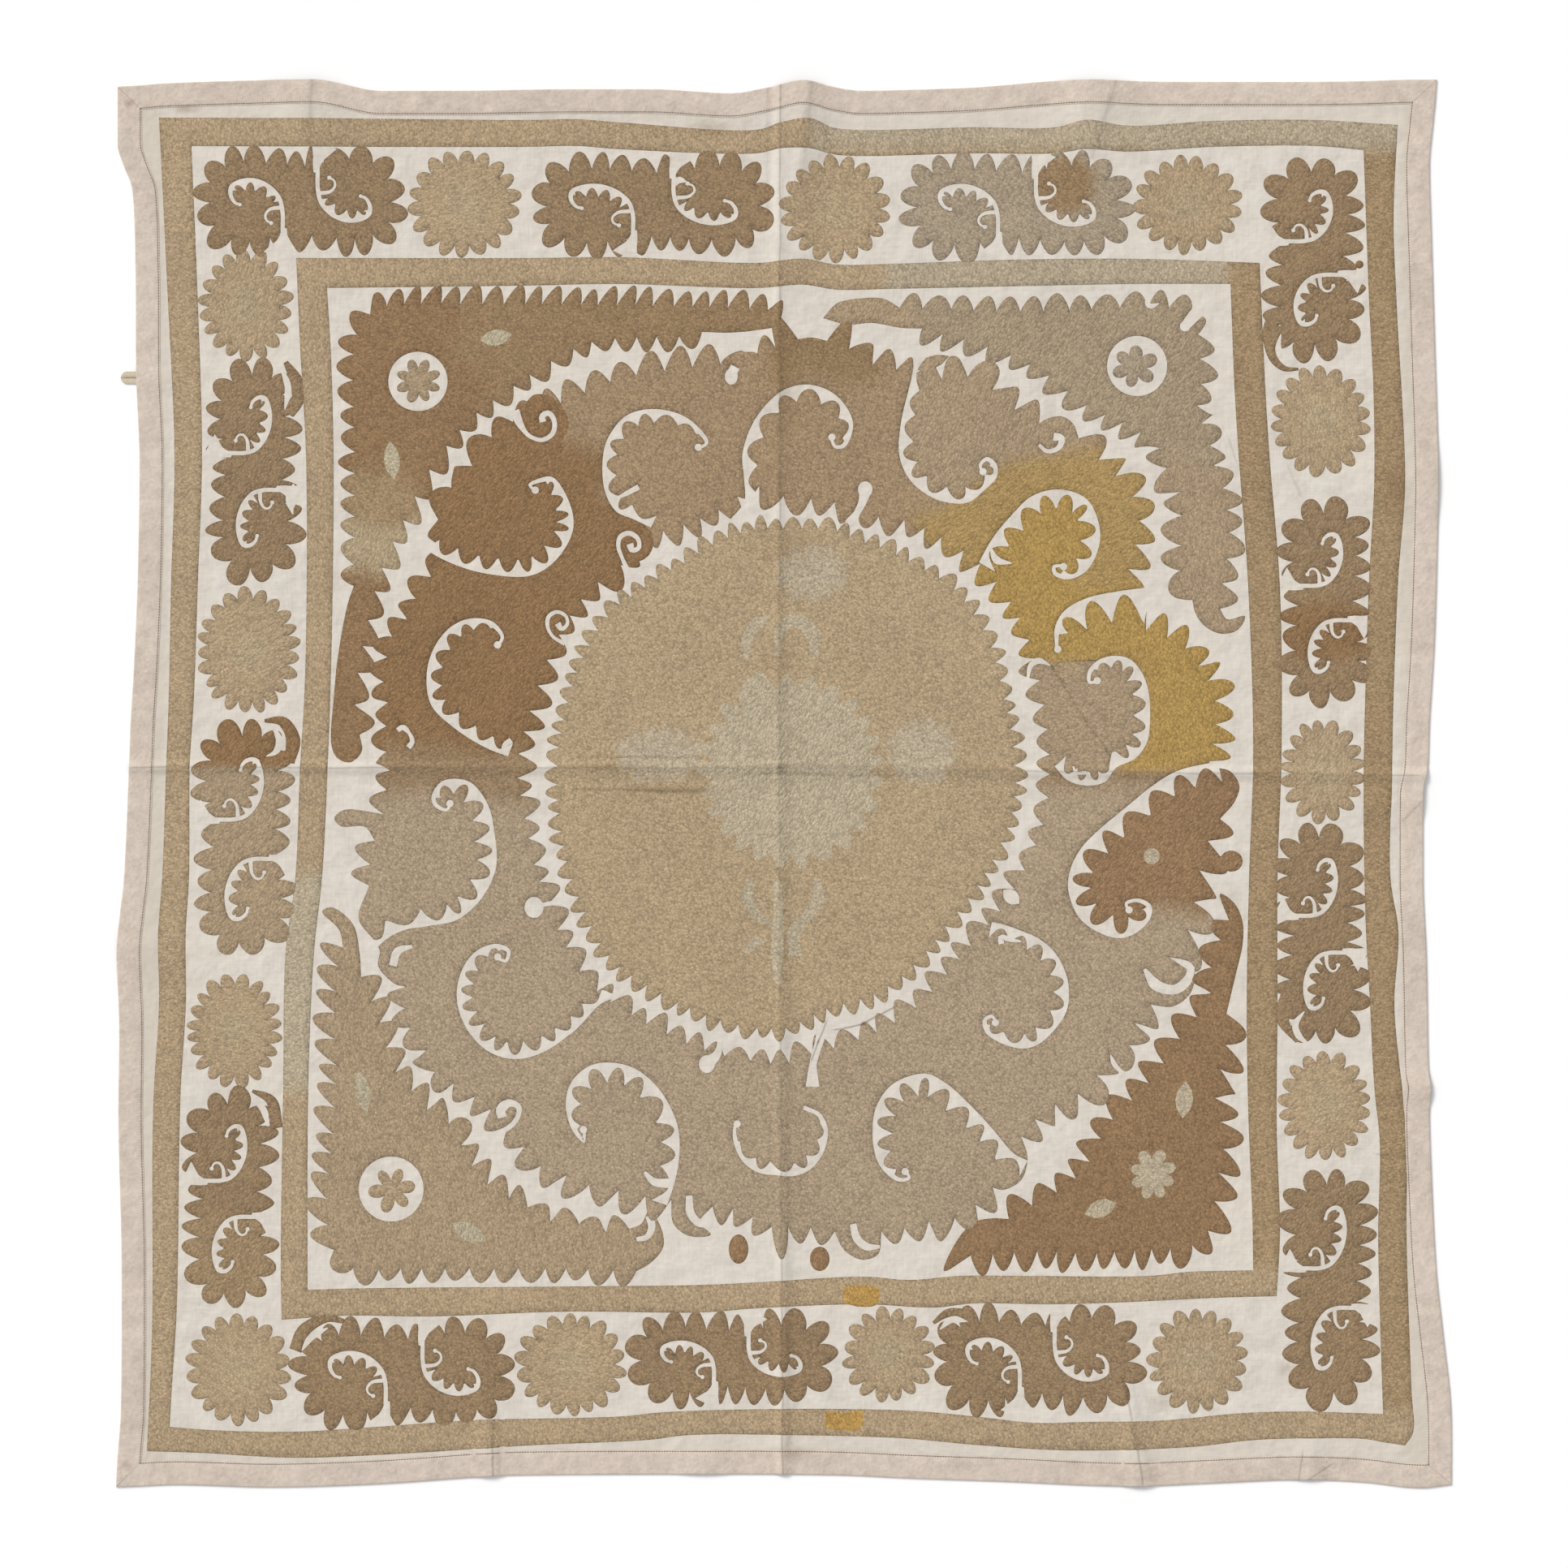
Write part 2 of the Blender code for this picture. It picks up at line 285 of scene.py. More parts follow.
def make_cloth():
    """The ground as one closed sheet: an upper and a lower grid, joined around the rim."""
    columns = COLUMNS[np.abs(COLUMNS) <= HALF_WIDTH - RIM + 0.001]
    rows = ROWS[np.abs(ROWS) <= HALF_LENGTH - RIM + 0.001]
    u, v = np.meshgrid(columns, rows)
    lower = np.stack(lifted(u, v, 0.0), -1).reshape(-1, 3)
    upper = np.stack(lifted(u, v, GROUND_THICK), -1).reshape(-1, 3)
    across, count = len(columns), len(columns) * len(rows)
    faces = []
    for r in range(len(rows) - 1):
        for c in range(across - 1):
            a, b = r * across + c, (r + 1) * across + c
            faces.append((count + a, count + a + 1, count + b + 1, count + b))
            faces.append((a, b, b + 1, a + 1))
    last = len(rows) - 1
    loop = list(range(across - 1))
    loop += [r * across + across - 1 for r in range(last)]
    loop += [last * across + c for c in range(across - 1, 0, -1)]
    loop += [r * across for r in range(last, 0, -1)]
    for a, b in zip(loop, loop[1:] + loop[:1]):
        faces.append((a, b, count + b, count + a))
    return make_mesh("cloth_ground", np.concatenate([lower, upper]), faces)


def side_sizes(side):
    """Whether a side runs up, half its length, its distance from the middle, and its sign."""
    upright = side in ("left", "right")
    half, other = (HALF_LENGTH, HALF_WIDTH) if upright else (HALF_WIDTH, HALF_LENGTH)
    return upright, half, other, -1 if side in ("left", "bottom") else 1


def tube_faces(rings, count):
    """Faces of a tube through this many rings of points, with both ends closed."""
    faces = []
    for r in range(rings - 1):
        for k in range(count):
            m = (k + 1) % count
            faces.append((r * count + k, r * count + m, (r + 1) * count + m, (r + 1) * count + k))
    faces.append(tuple(range(count))[::-1])
    faces.append(tuple(range((rings - 1) * count, rings * count)))
    return faces


def make_edging(side):
    """One edging strip with a rounded outer fold, lying on the cloth's rim and turned down."""
    upright, half, other, sign = side_sizes(side)
    under = UNDER_EDGING
    top = under + EDGING_THICK
    section = np.array([  # inset, height, from the outside around to the inside
        (0.0, 0.0), (0.0, top - 0.9), (0.12, top - 0.45), (0.45, top - 0.12), (1.0, top),
        (4.0, top + 0.06), (12.0, top), (21.0, top), (EDGING_WIDTH - 5.0, top - 0.12),
        (EDGING_WIDTH - 3.0, top - 0.34), (EDGING_WIDTH - 2.0, top - 0.52),
        (EDGING_WIDTH - 1.2, top - 0.5), (EDGING_WIDTH - 0.4, under + 0.3),
        (EDGING_WIDTH, under + 0.12), (EDGING_WIDTH, under),
        (EDGING_THICK, under), (EDGING_THICK, 0.0),
    ])
    lines = ROWS if upright else COLUMNS
    runs = lines[np.abs(lines) <= half - EDGING_WIDTH - SEAT_GAP + 0.001]
    rings = [-(half - section[:, 0] - MITRE_GAP)]
    rings += [np.full(len(section), run) for run in runs]
    rings += [half - section[:, 0] - MITRE_GAP]
    verts = []
    for run in rings:
        across = sign * (other - section[:, 0])
        u, v = (across, run) if upright else (run, across)
        verts.append(np.stack(lifted(u, v, section[:, 1]), -1))
    faces = tube_faces(len(rings), len(section))
    return make_mesh(f"edging_{side}_cloth", np.concatenate(verts), faces, 60)


def make_loop():
    """The hanging loop: a doubled tape with a round bend and softly rounded edges."""
    edge = -HALF_WIDTH - float(along(LEFT_EDGE, np.array(LOOP_Y)))
    root, radius = edge + LOOP_TAIL, LOOP_WIDTH / 2
    bend_x = edge - LOOP_REACH + radius
    centre = (radius + LOOP_SLIT / 2) / 2
    half = (radius - LOOP_SLIT / 2) / 2
    legs = LOOP_LEG_STEPS
    path = [(root + (bend_x - root) * k / legs, centre) for k in range(legs)]
    for k in range(LOOP_BEND_STEPS + 1):
        turn = math.pi / 2 + math.pi * k / LOOP_BEND_STEPS
        path.append((bend_x + centre * math.cos(turn), centre * math.sin(turn)))
    path += [(bend_x + (root - bend_x) * (k + 1) / legs, -centre) for k in range(legs)]
    path = np.array(path)
    tangent = np.gradient(path, axis=0)
    tangent /= np.linalg.norm(tangent, axis=1)[:, None]
    normal = np.stack([-tangent[:, 1], tangent[:, 0]], -1)
    profile = [(-1.0, 0.3), (-1.0, 0.75), (-0.8, 0.97), (0.0, 1.0), (0.8, 0.97), (1.0, 0.75),
               (1.0, 0.3), (0.85, 0.0), (-0.85, 0.0)]
    verts = []
    for (x, y), (nx, ny) in zip(path, normal):
        for out, up in profile:
            verts.append((x + nx * out * half, LOOP_Y + y + ny * out * half, up * LOOP_THICK))
    return make_mesh("loop_tape", verts, tube_faces(len(path), len(profile)), 50)


# Outlines of the embroidery, on the pattern sheet

def smooth_curve(points, closed=False):
    """A smooth curve through the points, as close points along it."""
    points = np.asarray(points, float)
    if len(points) == 2 and not closed:
        count = max(2, math.ceil(np.linalg.norm(points[1] - points[0]) / CURVE_SPACING) + 1)
        return points[0] + (points[1] - points[0]) * np.linspace(0, 1, count)[:, None]
    if closed:
        padded = np.concatenate([points[-1:], points, points[:2]])
    else:
        padded = np.concatenate([2 * points[:1] - points[1:2], points,
                                 2 * points[-1:] - points[-2:-1]])
    made = []
    for k in range(1, len(padded) - 2):
        p0, p1, p2, p3 = padded[k - 1:k + 3]
        knots = [0.0]
        for a, b in ((p0, p1), (p1, p2), (p2, p3)):
            knots.append(knots[-1] + max(np.linalg.norm(b - a), 1e-6) ** 0.5)
        t0, t1, t2, t3 = knots
        count = max(1, math.ceil(np.linalg.norm(p2 - p1) / CURVE_SPACING))
        t = (t1 + (t2 - t1) * np.arange(count) / count)[:, None]
        a1 = (t1 - t) / (t1 - t0) * p0 + (t - t0) / (t1 - t0) * p1
        a2 = (t2 - t) / (t2 - t1) * p1 + (t - t1) / (t2 - t1) * p2
        a3 = (t3 - t) / (t3 - t2) * p2 + (t - t2) / (t3 - t2) * p3
        b1 = (t2 - t) / (t2 - t0) * a1 + (t - t0) / (t2 - t0) * a2
        b2 = (t3 - t) / (t3 - t1) * a2 + (t - t1) / (t3 - t1) * a3
        made.append((t2 - t) / (t2 - t1) * b1 + (t - t1) / (t2 - t1) * b2)
    if not closed:
        made.append(points[-1:])
    return np.concatenate(made)


def arc_lengths(curve):
    """The distance run at each point of a curve."""
    return np.r_[0.0, np.cumsum(np.linalg.norm(np.diff(curve, axis=0), axis=1))]


def unit(ways):
    """Directions made one long."""
    return ways / np.maximum(np.linalg.norm(ways, axis=1), 1e-9)[:, None]


def left_of(ways):
    """Directions turned to their left, as seen going along them with y down."""
    return np.stack([ways[:, 1], -ways[:, 0]], -1)


def read_curve(curve, at):
    """Points and unit directions of a curve at distances along it."""
    lengths = arc_lengths(curve)
    at = np.clip(at, 0.0, lengths[-1])
    point = np.stack([np.interp(at, lengths, curve[:, k]) for k in (0, 1)], -1)
    reach = min(2.0, lengths[-1] / 4)
    ahead, behind = np.clip(at + reach, 0, lengths[-1]), np.clip(at - reach, 0, lengths[-1])
    way = np.stack([np.interp(ahead, lengths, curve[:, k]) - np.interp(behind, lengths, curve[:, k])
                    for k in (0, 1)], -1)
    return point, unit(way)


def teeth(base, count, depth, lean=0.0, power=0.7, seed=1, uneven=0.16):
    """A curve with rounded teeth on its left side, as seen going along it with y down.

    Each tooth is as wide as its share of the curve, give or take a little, and the notches
    between them are sharp. A lean carries the tips along the curve.
    """
    chance = np.random.default_rng(seed)
    widths = 1.0 + uneven * chance.uniform(-1, 1, count)
    heights = 1.0 + uneven * chance.uniform(-1, 1, count)
    leans = lean + 0.10 * chance.uniform(-1, 1, count)
    starts = np.r_[0.0, np.cumsum(widths)] / widths.sum() * arc_lengths(base)[-1]
    pitch = arc_lengths(base)[-1] / count
    steps = max(5, math.ceil((pitch + 2 * abs(depth)) / OUTLINE_SPACING))
    made = []
    for k in range(count):
        part = 0.5 - 0.5 * np.cos(math.pi * np.arange(steps) / steps)
        point, way = read_curve(base, starts[k] + part * (starts[k + 1] - starts[k]))
        left = left_of(way)
        rise = (np.abs(np.sin(math.pi * part)) ** power * (depth * heights[k]))[:, None]
        made.append(point + left * rise + way * rise * leans[k])
    made.append(base[-1:])
    return np.concatenate(made)


def even_points(curve):
    """A smooth stretch's points at about the outline's spacing."""
    length = arc_lengths(curve)[-1]
    at = np.linspace(0.0, length, max(2, math.ceil(length / OUTLINE_SPACING) + 1))
    return read_curve(curve, at)[0]


def outline(*stretches):
    """A closed outline from stretches of points, some with teeth: count, depth, lean, power."""
    made = []
    for n, (points, *how) in enumerate(stretches):
        base = smooth_curve(points)
        made.append(teeth(base, *how, seed=n + how[0]) if how else even_points(base))
    return np.concatenate(made)


def ribbon(points, half_widths):
    """A leaf or hook around a line: half widths are given evenly along it."""
    spine = smooth_curve(points)
    length = arc_lengths(spine)[-1]
    count = max(8, math.ceil(length / OUTLINE_SPACING))
    at = np.linspace(0.0, length, count)
    point, way = read_curve(spine, at)
    side = left_of(way)
    wide = np.interp(at, np.linspace(0, length, len(half_widths)), half_widths)[:, None]
    return np.concatenate([point + side * wide, (point - side * wide)[::-1]])


def turned(shape, cx, cy, turn, long, wide):
    """A shape of unit size, stretched, turned by degrees and moved to its place."""
    c, s = math.cos(math.radians(turn)), math.sin(math.radians(turn))
    x, y = np.asarray(shape, float).T
    x, y = x * long, y * wide
    return np.stack([cx + c * x - s * y, cy + s * x + c * y], -1)


def patch(*sides):
    """A closed outline of smooth sides without teeth."""
    return outline(*[(side,) for side in sides])


def ellipse(cx, cy, rx, ry=None):
    """An ellipse, or a circle where one radius is given."""
    ry = rx if ry is None else ry
    count = max(10, math.ceil(math.pi * (rx + ry) / OUTLINE_SPACING))
    angle = 2 * math.pi * np.arange(count) / count
    return turned(np.stack([np.cos(angle), np.sin(angle)], -1), cx, cy, 0.0, rx, ry)


def lens(cx, cy, half_long, half_wide, turn):
    """A pointed leaf shape, its long way turned by degrees."""
    spine = turned([(-1, 0), (0, 0), (1, 0)], cx, cy, turn, half_long, 1.0)
    return ribbon(spine, [0, half_wide * 0.8, half_wide, half_wide * 0.8, 0])


def rosette(cx, cy, rx, ry, count, depth, seed=1, power=0.55, turn=0.0):
    """A round flower: an ellipse with teeth out to the given radii."""
    angle = np.radians(turn) - 2 * math.pi * np.arange(361) / 360
    x, y = cx + (rx - depth) * np.cos(angle), cy + (ry - depth) * np.sin(angle)
    base = np.stack([x, y], -1)
    return teeth(base[::-1], count, depth, power=power, seed=seed, uneven=0.13)[:-1]


def crescent(points, width, count, mouth=0.8, hook=4.0, seed=1, start=0.14, end=1.0):
    """A bare crescent in the stitching, from its hooked end to its mouth.

    Its outer side is the smooth curve through the points. Petals of the flower that it
    surrounds stand into it from the inner side, between two shares of its length.
    """
    spine = smooth_curve(points)
    length = arc_lengths(spine)[-1]
    point, way = read_curve(spine, np.linspace(0, length, 60))
    left = left_of(way)
    inward = 1.0 if ((spine.mean(0) - point) * left).sum() > 0 else -1.0
    chance = np.random.default_rng(seed)
    part = np.linspace(0.0, 1.0, max(9 * count, math.ceil(length / OUTLINE_SPACING)) + 1)
    shares = 1.0 + 0.2 * chance.uniform(-1, 1, count)
    edges = start + (end - start) * np.r_[0.0, np.cumsum(shares)] / shares.sum()
    inside = np.clip(np.searchsorted(edges, part, side="right") - 1, 0, count - 1)
    phase = np.clip((part - edges[inside]) / (edges[inside + 1] - edges[inside]), 0.0, 1.0)
    petal = np.sin(math.pi * phase) ** PETAL_POWER
    deep = width * smooth_step(-0.12, 0.34, part)
    deep *= 1.0 - (1.0 - mouth) * smooth_step(0.6, 1.0, part)
    wide = PETAL_CLEARANCE + np.maximum(deep - PETAL_CLEARANCE, 0.0) * (1.0 - petal)
    wide = np.where(part < start, HOOK_WIDTH + part / start * PETAL_CLEARANCE / 2, wide)
    wide = np.where(part > end, PETAL_CLEARANCE, wide)
    point, way = read_curve(spine, part * length)
    left = left_of(way)
    inner = point + left * (inward * wide)[:, None]
    shape = np.concatenate([even_points(spine), inner[::-1]])
    return [shape, ellipse(*(spine[0] + left[0] * inward * hook * 0.7), hook)]


# Laying out: each layer is (kind, colour, outline, grain), later ones over earlier ones

class Layout:
    """Outlines of stitching and of bare ground, in the order in which they cover each other."""

    def __init__(self, name, blend=1):
        self.name = name
        self.blend = blend
        self.layers = []

    def thread(self, colour, shape, grain=45):
        """A stitched area."""
        self.layers.append(("thread", colour, np.asarray(shape), grain))

    def tint(self, colour, shape, grain=None):
        """Another thread colour inside this outline, only where it is stitched already."""
        self.layers.append(("tint", colour, np.asarray(shape), grain))

    def bare(self, *shapes):
        """Ground left bare inside these outlines."""
        for shape in shapes:
            self.layers.append(("bare", None, np.asarray(shape), None))


def inside_polygon(points, polygon):
    """Which of the points are inside the polygon."""
    low, high = polygon.min(0), polygon.max(0)
    near = np.flatnonzero(((points >= low) & (points <= high)).all(1))
    found = np.zeros(len(points), bool)
    if not len(near):
        return found
    x, y = points[near, 0], points[near, 1]
    crossed = np.zeros(len(near), bool)
    for (x0, y0), (x1, y1) in zip(polygon, np.roll(polygon, -1, 0)):
        if y0 == y1:
            continue
        hit = (y0 <= y) != (y1 <= y)
        crossed ^= hit & (x < x0 + (y - y0) * (x1 - x0) / (y1 - y0))
    found[near] = crossed
    return found


def thin_out(points, tree, least, cell):
    """Points no nearer than this to the tree's, and not two in one cell."""
    keep, taken = [], set()
    for x, y in points:
        key = (round(x / cell), round(y / cell))
        if key in taken:
            continue
        if tree.find((x, y, 0.0))[2] < least:
            continue
        taken.add(key)
        keep.append((x, y))
    return keep


def tree_of(points):
    """A search tree of flat points."""
    tree = KDTree(len(points))
    for n, (x, y) in enumerate(points):
        tree.insert((x, y, 0.0), n)
    tree.balance()
    return tree


def blended(shades, places, base, passes):
    """Names of the corners, and their colours softened over this many rings of triangles."""
    names, corners = np.unique(places * (base.max() + 1) + base[:, None], return_inverse=True)
    corners = corners.reshape(-1, 3)
    count = np.bincount(corners.ravel())
    for _ in range(passes):
        mixed = [np.bincount(corners.ravel(), np.repeat(level, 3)) / count for level in shades.T]
        mixed = np.stack(mixed, -1)
        shades = mixed[corners].mean(1)
    return names, mixed


def fold_points(low, high):
    """Places along the narrow folds, inside a box on the pattern sheet."""
    made = []
    for x0, y0, x1, y1, half_width, _, _ in RIDGES:
        if half_width > BROAD_RIDGE:
            continue
        length = math.hypot(x1 - x0, y1 - y0)
        for t in np.arange(0, length, FOLD_STEP) / length:
            for off in FOLD_OFFSETS:
                x = x0 + t * (x1 - x0) - (y1 - y0) / length * off * half_width
                y = y0 + t * (y1 - y0) + (x1 - x0) / length * off * half_width
                sx, sy = x + SHEET_MIDDLE, SHEET_MIDDLE - y
                if low[0] < sx < high[0] and low[1] < sy < high[1]:
                    made.append((sx, sy))
    return made


def meshed(layers):
    """Flat points and triangles that follow the outlines of all layers."""
    verts, edges, beside = [], [], []
    for kind, _, shape, _ in layers:
        start, count = len(verts), len(shape)
        verts += shape.tolist()
        edges += [(start + k, start + (k + 1) % count) for k in range(count)]
        if kind != "tint":
            out = left_of(unit(np.roll(shape, -1, 0) - np.roll(shape, 1, 0))) * BESIDE_OUTLINE
            beside += [*(shape + out), *(shape - out)]
    on_lines = np.array(verts)
    low, high = on_lines.min(0) - 1, on_lines.max(0) + 1
    extra = thin_out(beside, tree_of(on_lines), BESIDE_CLEARANCE, BESIDE_OUTLINE)
    extra += fold_points(low, high)
    grid = []
    for r, y in enumerate(np.arange(low[1], high[1], FILL_SPACING * FILL_ROW)):
        for x in np.arange(low[0] + (r % 2) * FILL_SPACING / 2, high[0], FILL_SPACING):
            grid.append((x, y))
    verts += extra
    verts += thin_out(grid, tree_of(verts), FILL_CLEARANCE, FILL_CELL)
    points = [Vector(p) for p in verts]
    flat, _, triangles, _, _, _ = delaunay_2d_cdt(points, edges, [], 0, 1e-4, False)
    return np.array([(p.x, p.y) for p in flat]), np.array([t for t in triangles if len(t) == 3])


def owners(layers, middles):
    """For each place: the layer on top or -1, the thread under its tints, and the grain."""
    owner = np.full(len(middles), -1)
    base = np.zeros(len(middles), int)
    grains = np.zeros(len(middles))
    for n, (kind, _, shape, grain) in enumerate(layers):
        found = inside_polygon(middles, shape)
        if kind == "tint":
            found &= owner >= 0
        owner[found] = -1 if kind == "bare" else n
        if kind == "thread":
            base[found] = n
        if grain is not None:
            grains[found] = grain
    return owner, base, grains


def rim_distance(flat, triangles):
    """How far each point is from the rim of the stitched area."""
    pairs = np.sort(np.concatenate([triangles[:, [0, 1]], triangles[:, [1, 2]],
                                    triangles[:, [2, 0]]]), axis=1)
    keys, counts = np.unique(pairs, axis=0, return_counts=True)
    border = keys[counts == 1]
    tree = tree_of(np.concatenate([flat[border[:, 0]], flat[border].mean(1)]))
    away = np.array([tree.find((x, y, 0.0))[2] for x, y in flat])
    away[np.unique(border)] = 0.0
    return away


def make_embroidery(layout):
    """One raised piece from a layout, with its thread colours, its rim's painted shade and its grain
    as attributes.
    """
    flat, triangles = meshed(layout.layers)
    owner, base, grains = owners(layout.layers, flat[triangles].mean(1))
    stitched = owner >= 0
    triangles, owner, grains = triangles[stitched], owner[stitched], grains[stitched]
    base = base[stitched]
    used, first = np.unique(triangles, return_inverse=True)
    triangles, flat = first.reshape(-1, 3), flat[used]
    away = rim_distance(flat, triangles)
    x, y = flat[:, 0] - SHEET_MIDDLE, SHEET_MIDDLE - flat[:, 1]
    raised = THREAD_HEIGHT * (1.0 - np.exp(-away / THREAD_SHOULDER)) + THREAD_LIFT
    z = cloth_top(x, y) + raised
    corners = flat[triangles]
    one, two = corners[:, 1] - corners[:, 0], corners[:, 2] - corners[:, 0]
    faces_down = one[:, 0] * two[:, 1] - one[:, 1] * two[:, 0] > 0
    triangles = np.where(faces_down[:, None], triangles[:, ::-1], triangles)
    made = make_mesh(layout.name, np.stack([x, y, z], -1), triangles.tolist(), 180, False)
    shades = np.array([linear(layout.layers[n][1]) for n in owner])
    mesh = made.data
    names, mixed = blended(shades, triangles, base, layout.blend)
    at = np.empty(len(mesh.loops), np.int32)
    mesh.loops.foreach_get("vertex_index", at)
    at = np.searchsorted(names, at.astype(np.int64) * (base.max() + 1) + np.repeat(base, 3))
    colour = mesh.color_attributes.new("thread_colour", "FLOAT_COLOR", "CORNER")
    colour.data.foreach_set("color", mixed[at].ravel())
    # The rim value, 1 at the stitching's edge, sets where the thread's painted shade falls.
    rim = mesh.attributes.new("rim", "FLOAT", "POINT")
    rim.data.foreach_set("value", np.exp(-away / RIM_SHADE_REACH))
    grain = mesh.attributes.new("grain", "FLOAT", "FACE")
    grain.data.foreach_set("value", np.radians(grains))
    return made


def linear(srgb):
    """An sRGB colour of 0 to 255 as the linear RGBA that shaders use."""
    levels = [c / 255 for c in srgb]
    return [c / 12.92 if c <= 0.04045 else ((c + 0.055) / 1.055) ** 2.4 for c in levels] + [1.0]


# The two stitched stripes, as frames with uneven sides

OUTER_STRIPE = (
    ([(196, 145), (420, 146), (650, 148), (710, 147), (765, 151), (932, 160), (962, 151),
      (998, 146), (1031, 158), (1200, 157), (1300, 157), (1339, 148), (1388, 155), (1498, 149),
      (1620, 148), (1722, 154)],
     [(1722, 154), (1717, 270), (1721, 378), (1731, 595), (1723, 709), (1717, 858), (1715, 958),
      (1713, 1080), (1723, 1149), (1718, 1239), (1727, 1338), (1733, 1410), (1733, 1525),
      (1739, 1712), (1741, 1765), (1731, 1781)],
     [(1731, 1781), (1705, 1777), (1682, 1773), (1632, 1772), (1549, 1774), (1465, 1783),
      (1316, 1787), (1200, 1780), (1110, 1772), (965, 1768), (849, 1768), (799, 1774),
      (650, 1781), (495, 1791), (362, 1796), (246, 1790), (181, 1788)],
     [(181, 1788), (185, 1708), (188, 1609), (188, 1410), (190, 1338), (196, 1239), (195, 1150),
      (200, 1080), (205, 941), (208, 860), (211, 715), (215, 560), (206, 350), (196, 145)]),
    ([(236, 180), (420, 181), (650, 181), (710, 180), (765, 184), (932, 189), (962, 183),
      (998, 183), (1031, 191), (1200, 189), (1300, 189), (1339, 184), (1388, 187), (1498, 181),
      (1620, 180), (1680, 185)],
     [(1680, 185), (1683, 270), (1687, 378), (1692, 478), (1693, 595), (1687, 709), (1682, 858),
      (1680, 958), (1681, 1080), (1683, 1149), (1688, 1239), (1693, 1338), (1700, 1410),
      (1698, 1525), (1703, 1712), (1704, 1742)],
     [(1704, 1742), (1599, 1739), (1531, 1741), (1432, 1750), (1332, 1752), (1276, 1753),
      (1200, 1745), (1120, 1738), (950, 1736), (816, 1740), (766, 1745), (650, 1748), (594, 1749),
      (462, 1758), (362, 1764), (263, 1762), (209, 1758)],
     [(209, 1758), (212, 1708), (218, 1609), (221, 1410), (223, 1338), (229, 1239), (229, 1150),
      (233, 1080), (234, 941), (239, 860), (244, 715), (249, 560), (243, 350), (236, 180)]),
)
INNER_STRIPE = (
    ([(365, 318), (650, 318), (765, 317), (932, 324), (990, 319), (1031, 326), (1100, 325),
      (1250, 320), (1400, 319), (1552, 324)],
     [(1552, 324), (1559, 478), (1564, 560), (1577, 726), (1579, 925), (1574, 1080),
      (1574, 1239), (1573, 1390), (1577, 1518), (1573, 1597)],
     [(1573, 1597), (1498, 1599), (1398, 1604), (1299, 1607), (1200, 1606), (1150, 1611),
      (1064, 1607), (932, 1612), (865, 1617), (700, 1616), (528, 1622), (428, 1621), (347, 1626)],
     [(347, 1626), (346, 1560), (349, 1338), (352, 1173), (364, 1080), (370, 941), (375, 858),
      (378, 726), (377, 560), (370, 430), (365, 318)]),
    ([(403, 355), (650, 352), (765, 350), (932, 355), (990, 351), (1031, 357), (1100, 356),
      (1400, 350), (1516, 350)],
     [(1516, 350), (1521, 478), (1526, 560), (1538, 726), (1544, 925), (1539, 1080),
      (1536, 1239), (1538, 1372), (1543, 1500), (1544, 1565)],
     [(1544, 1565), (1465, 1567), (1415, 1572), (1266, 1572), (1183, 1572), (1120, 1577),
      (1064, 1573), (932, 1580), (865, 1583), (700, 1585), (462, 1587), (379, 1589)],
     [(379, 1589), (379, 1560), (380, 1338), (387, 1173), (397, 1080), (404, 941), (407, 858),
      (410, 726), (411, 560), (408, 440), (403, 355)]),
)


STRIPE_TINTS = [  # colour, box, grain
    (STRIPE_GREY, (1000, 130, 1760, 186), 60), (STRIPE_GREY, (1090, 310, 1513, 362), 60),
    (STRIPE_RIGHT, (1672, 186, 1760, 1735), 20), (STRIPE_RIGHT, (1514, 300, 1600, 1562), 20),
    (STRIPE, (170, 196, 262, 1752), 20),
]
STRIPE_PATCHES = [
    [(1038, 1586), (1062, 1583), (1083, 1588), (1080, 1607), (1060, 1610), (1041, 1606)],
    [(1017, 1738), (1040, 1741), (1062, 1738), (1060, 1760), (1036, 1762), (1016, 1759)],
]


def box_shape(x0, y0, x1, y1):
    """A rectangle's outline, with points close enough to follow the stitching's relief."""
    corners = [(x0, y0), (x1, y0), (x1, y1), (x0, y1), (x0, y0)]
    return patch(*zip(corners, corners[1:]))


def lay_stripes():
    """The outer and the inner stripe."""
    layout = Layout("stitched_stripes", 3)
    for outer, inner in (OUTER_STRIPE, INNER_STRIPE):
        layout.thread(STRIPE, patch(*outer), 60)
        layout.bare(patch(*inner))
    for colour, box, grain in STRIPE_TINTS:
        layout.tint(colour, box_shape(*box), grain)
    layout.tint(PALE, patch([(330, 1090), (420, 1080), (420, 1330), (330, 1345)]), 20)
    for points in STRIPE_PATCHES:
        layout.thread(PATCH, patch(points), 60)
    return layout


# Border motifs

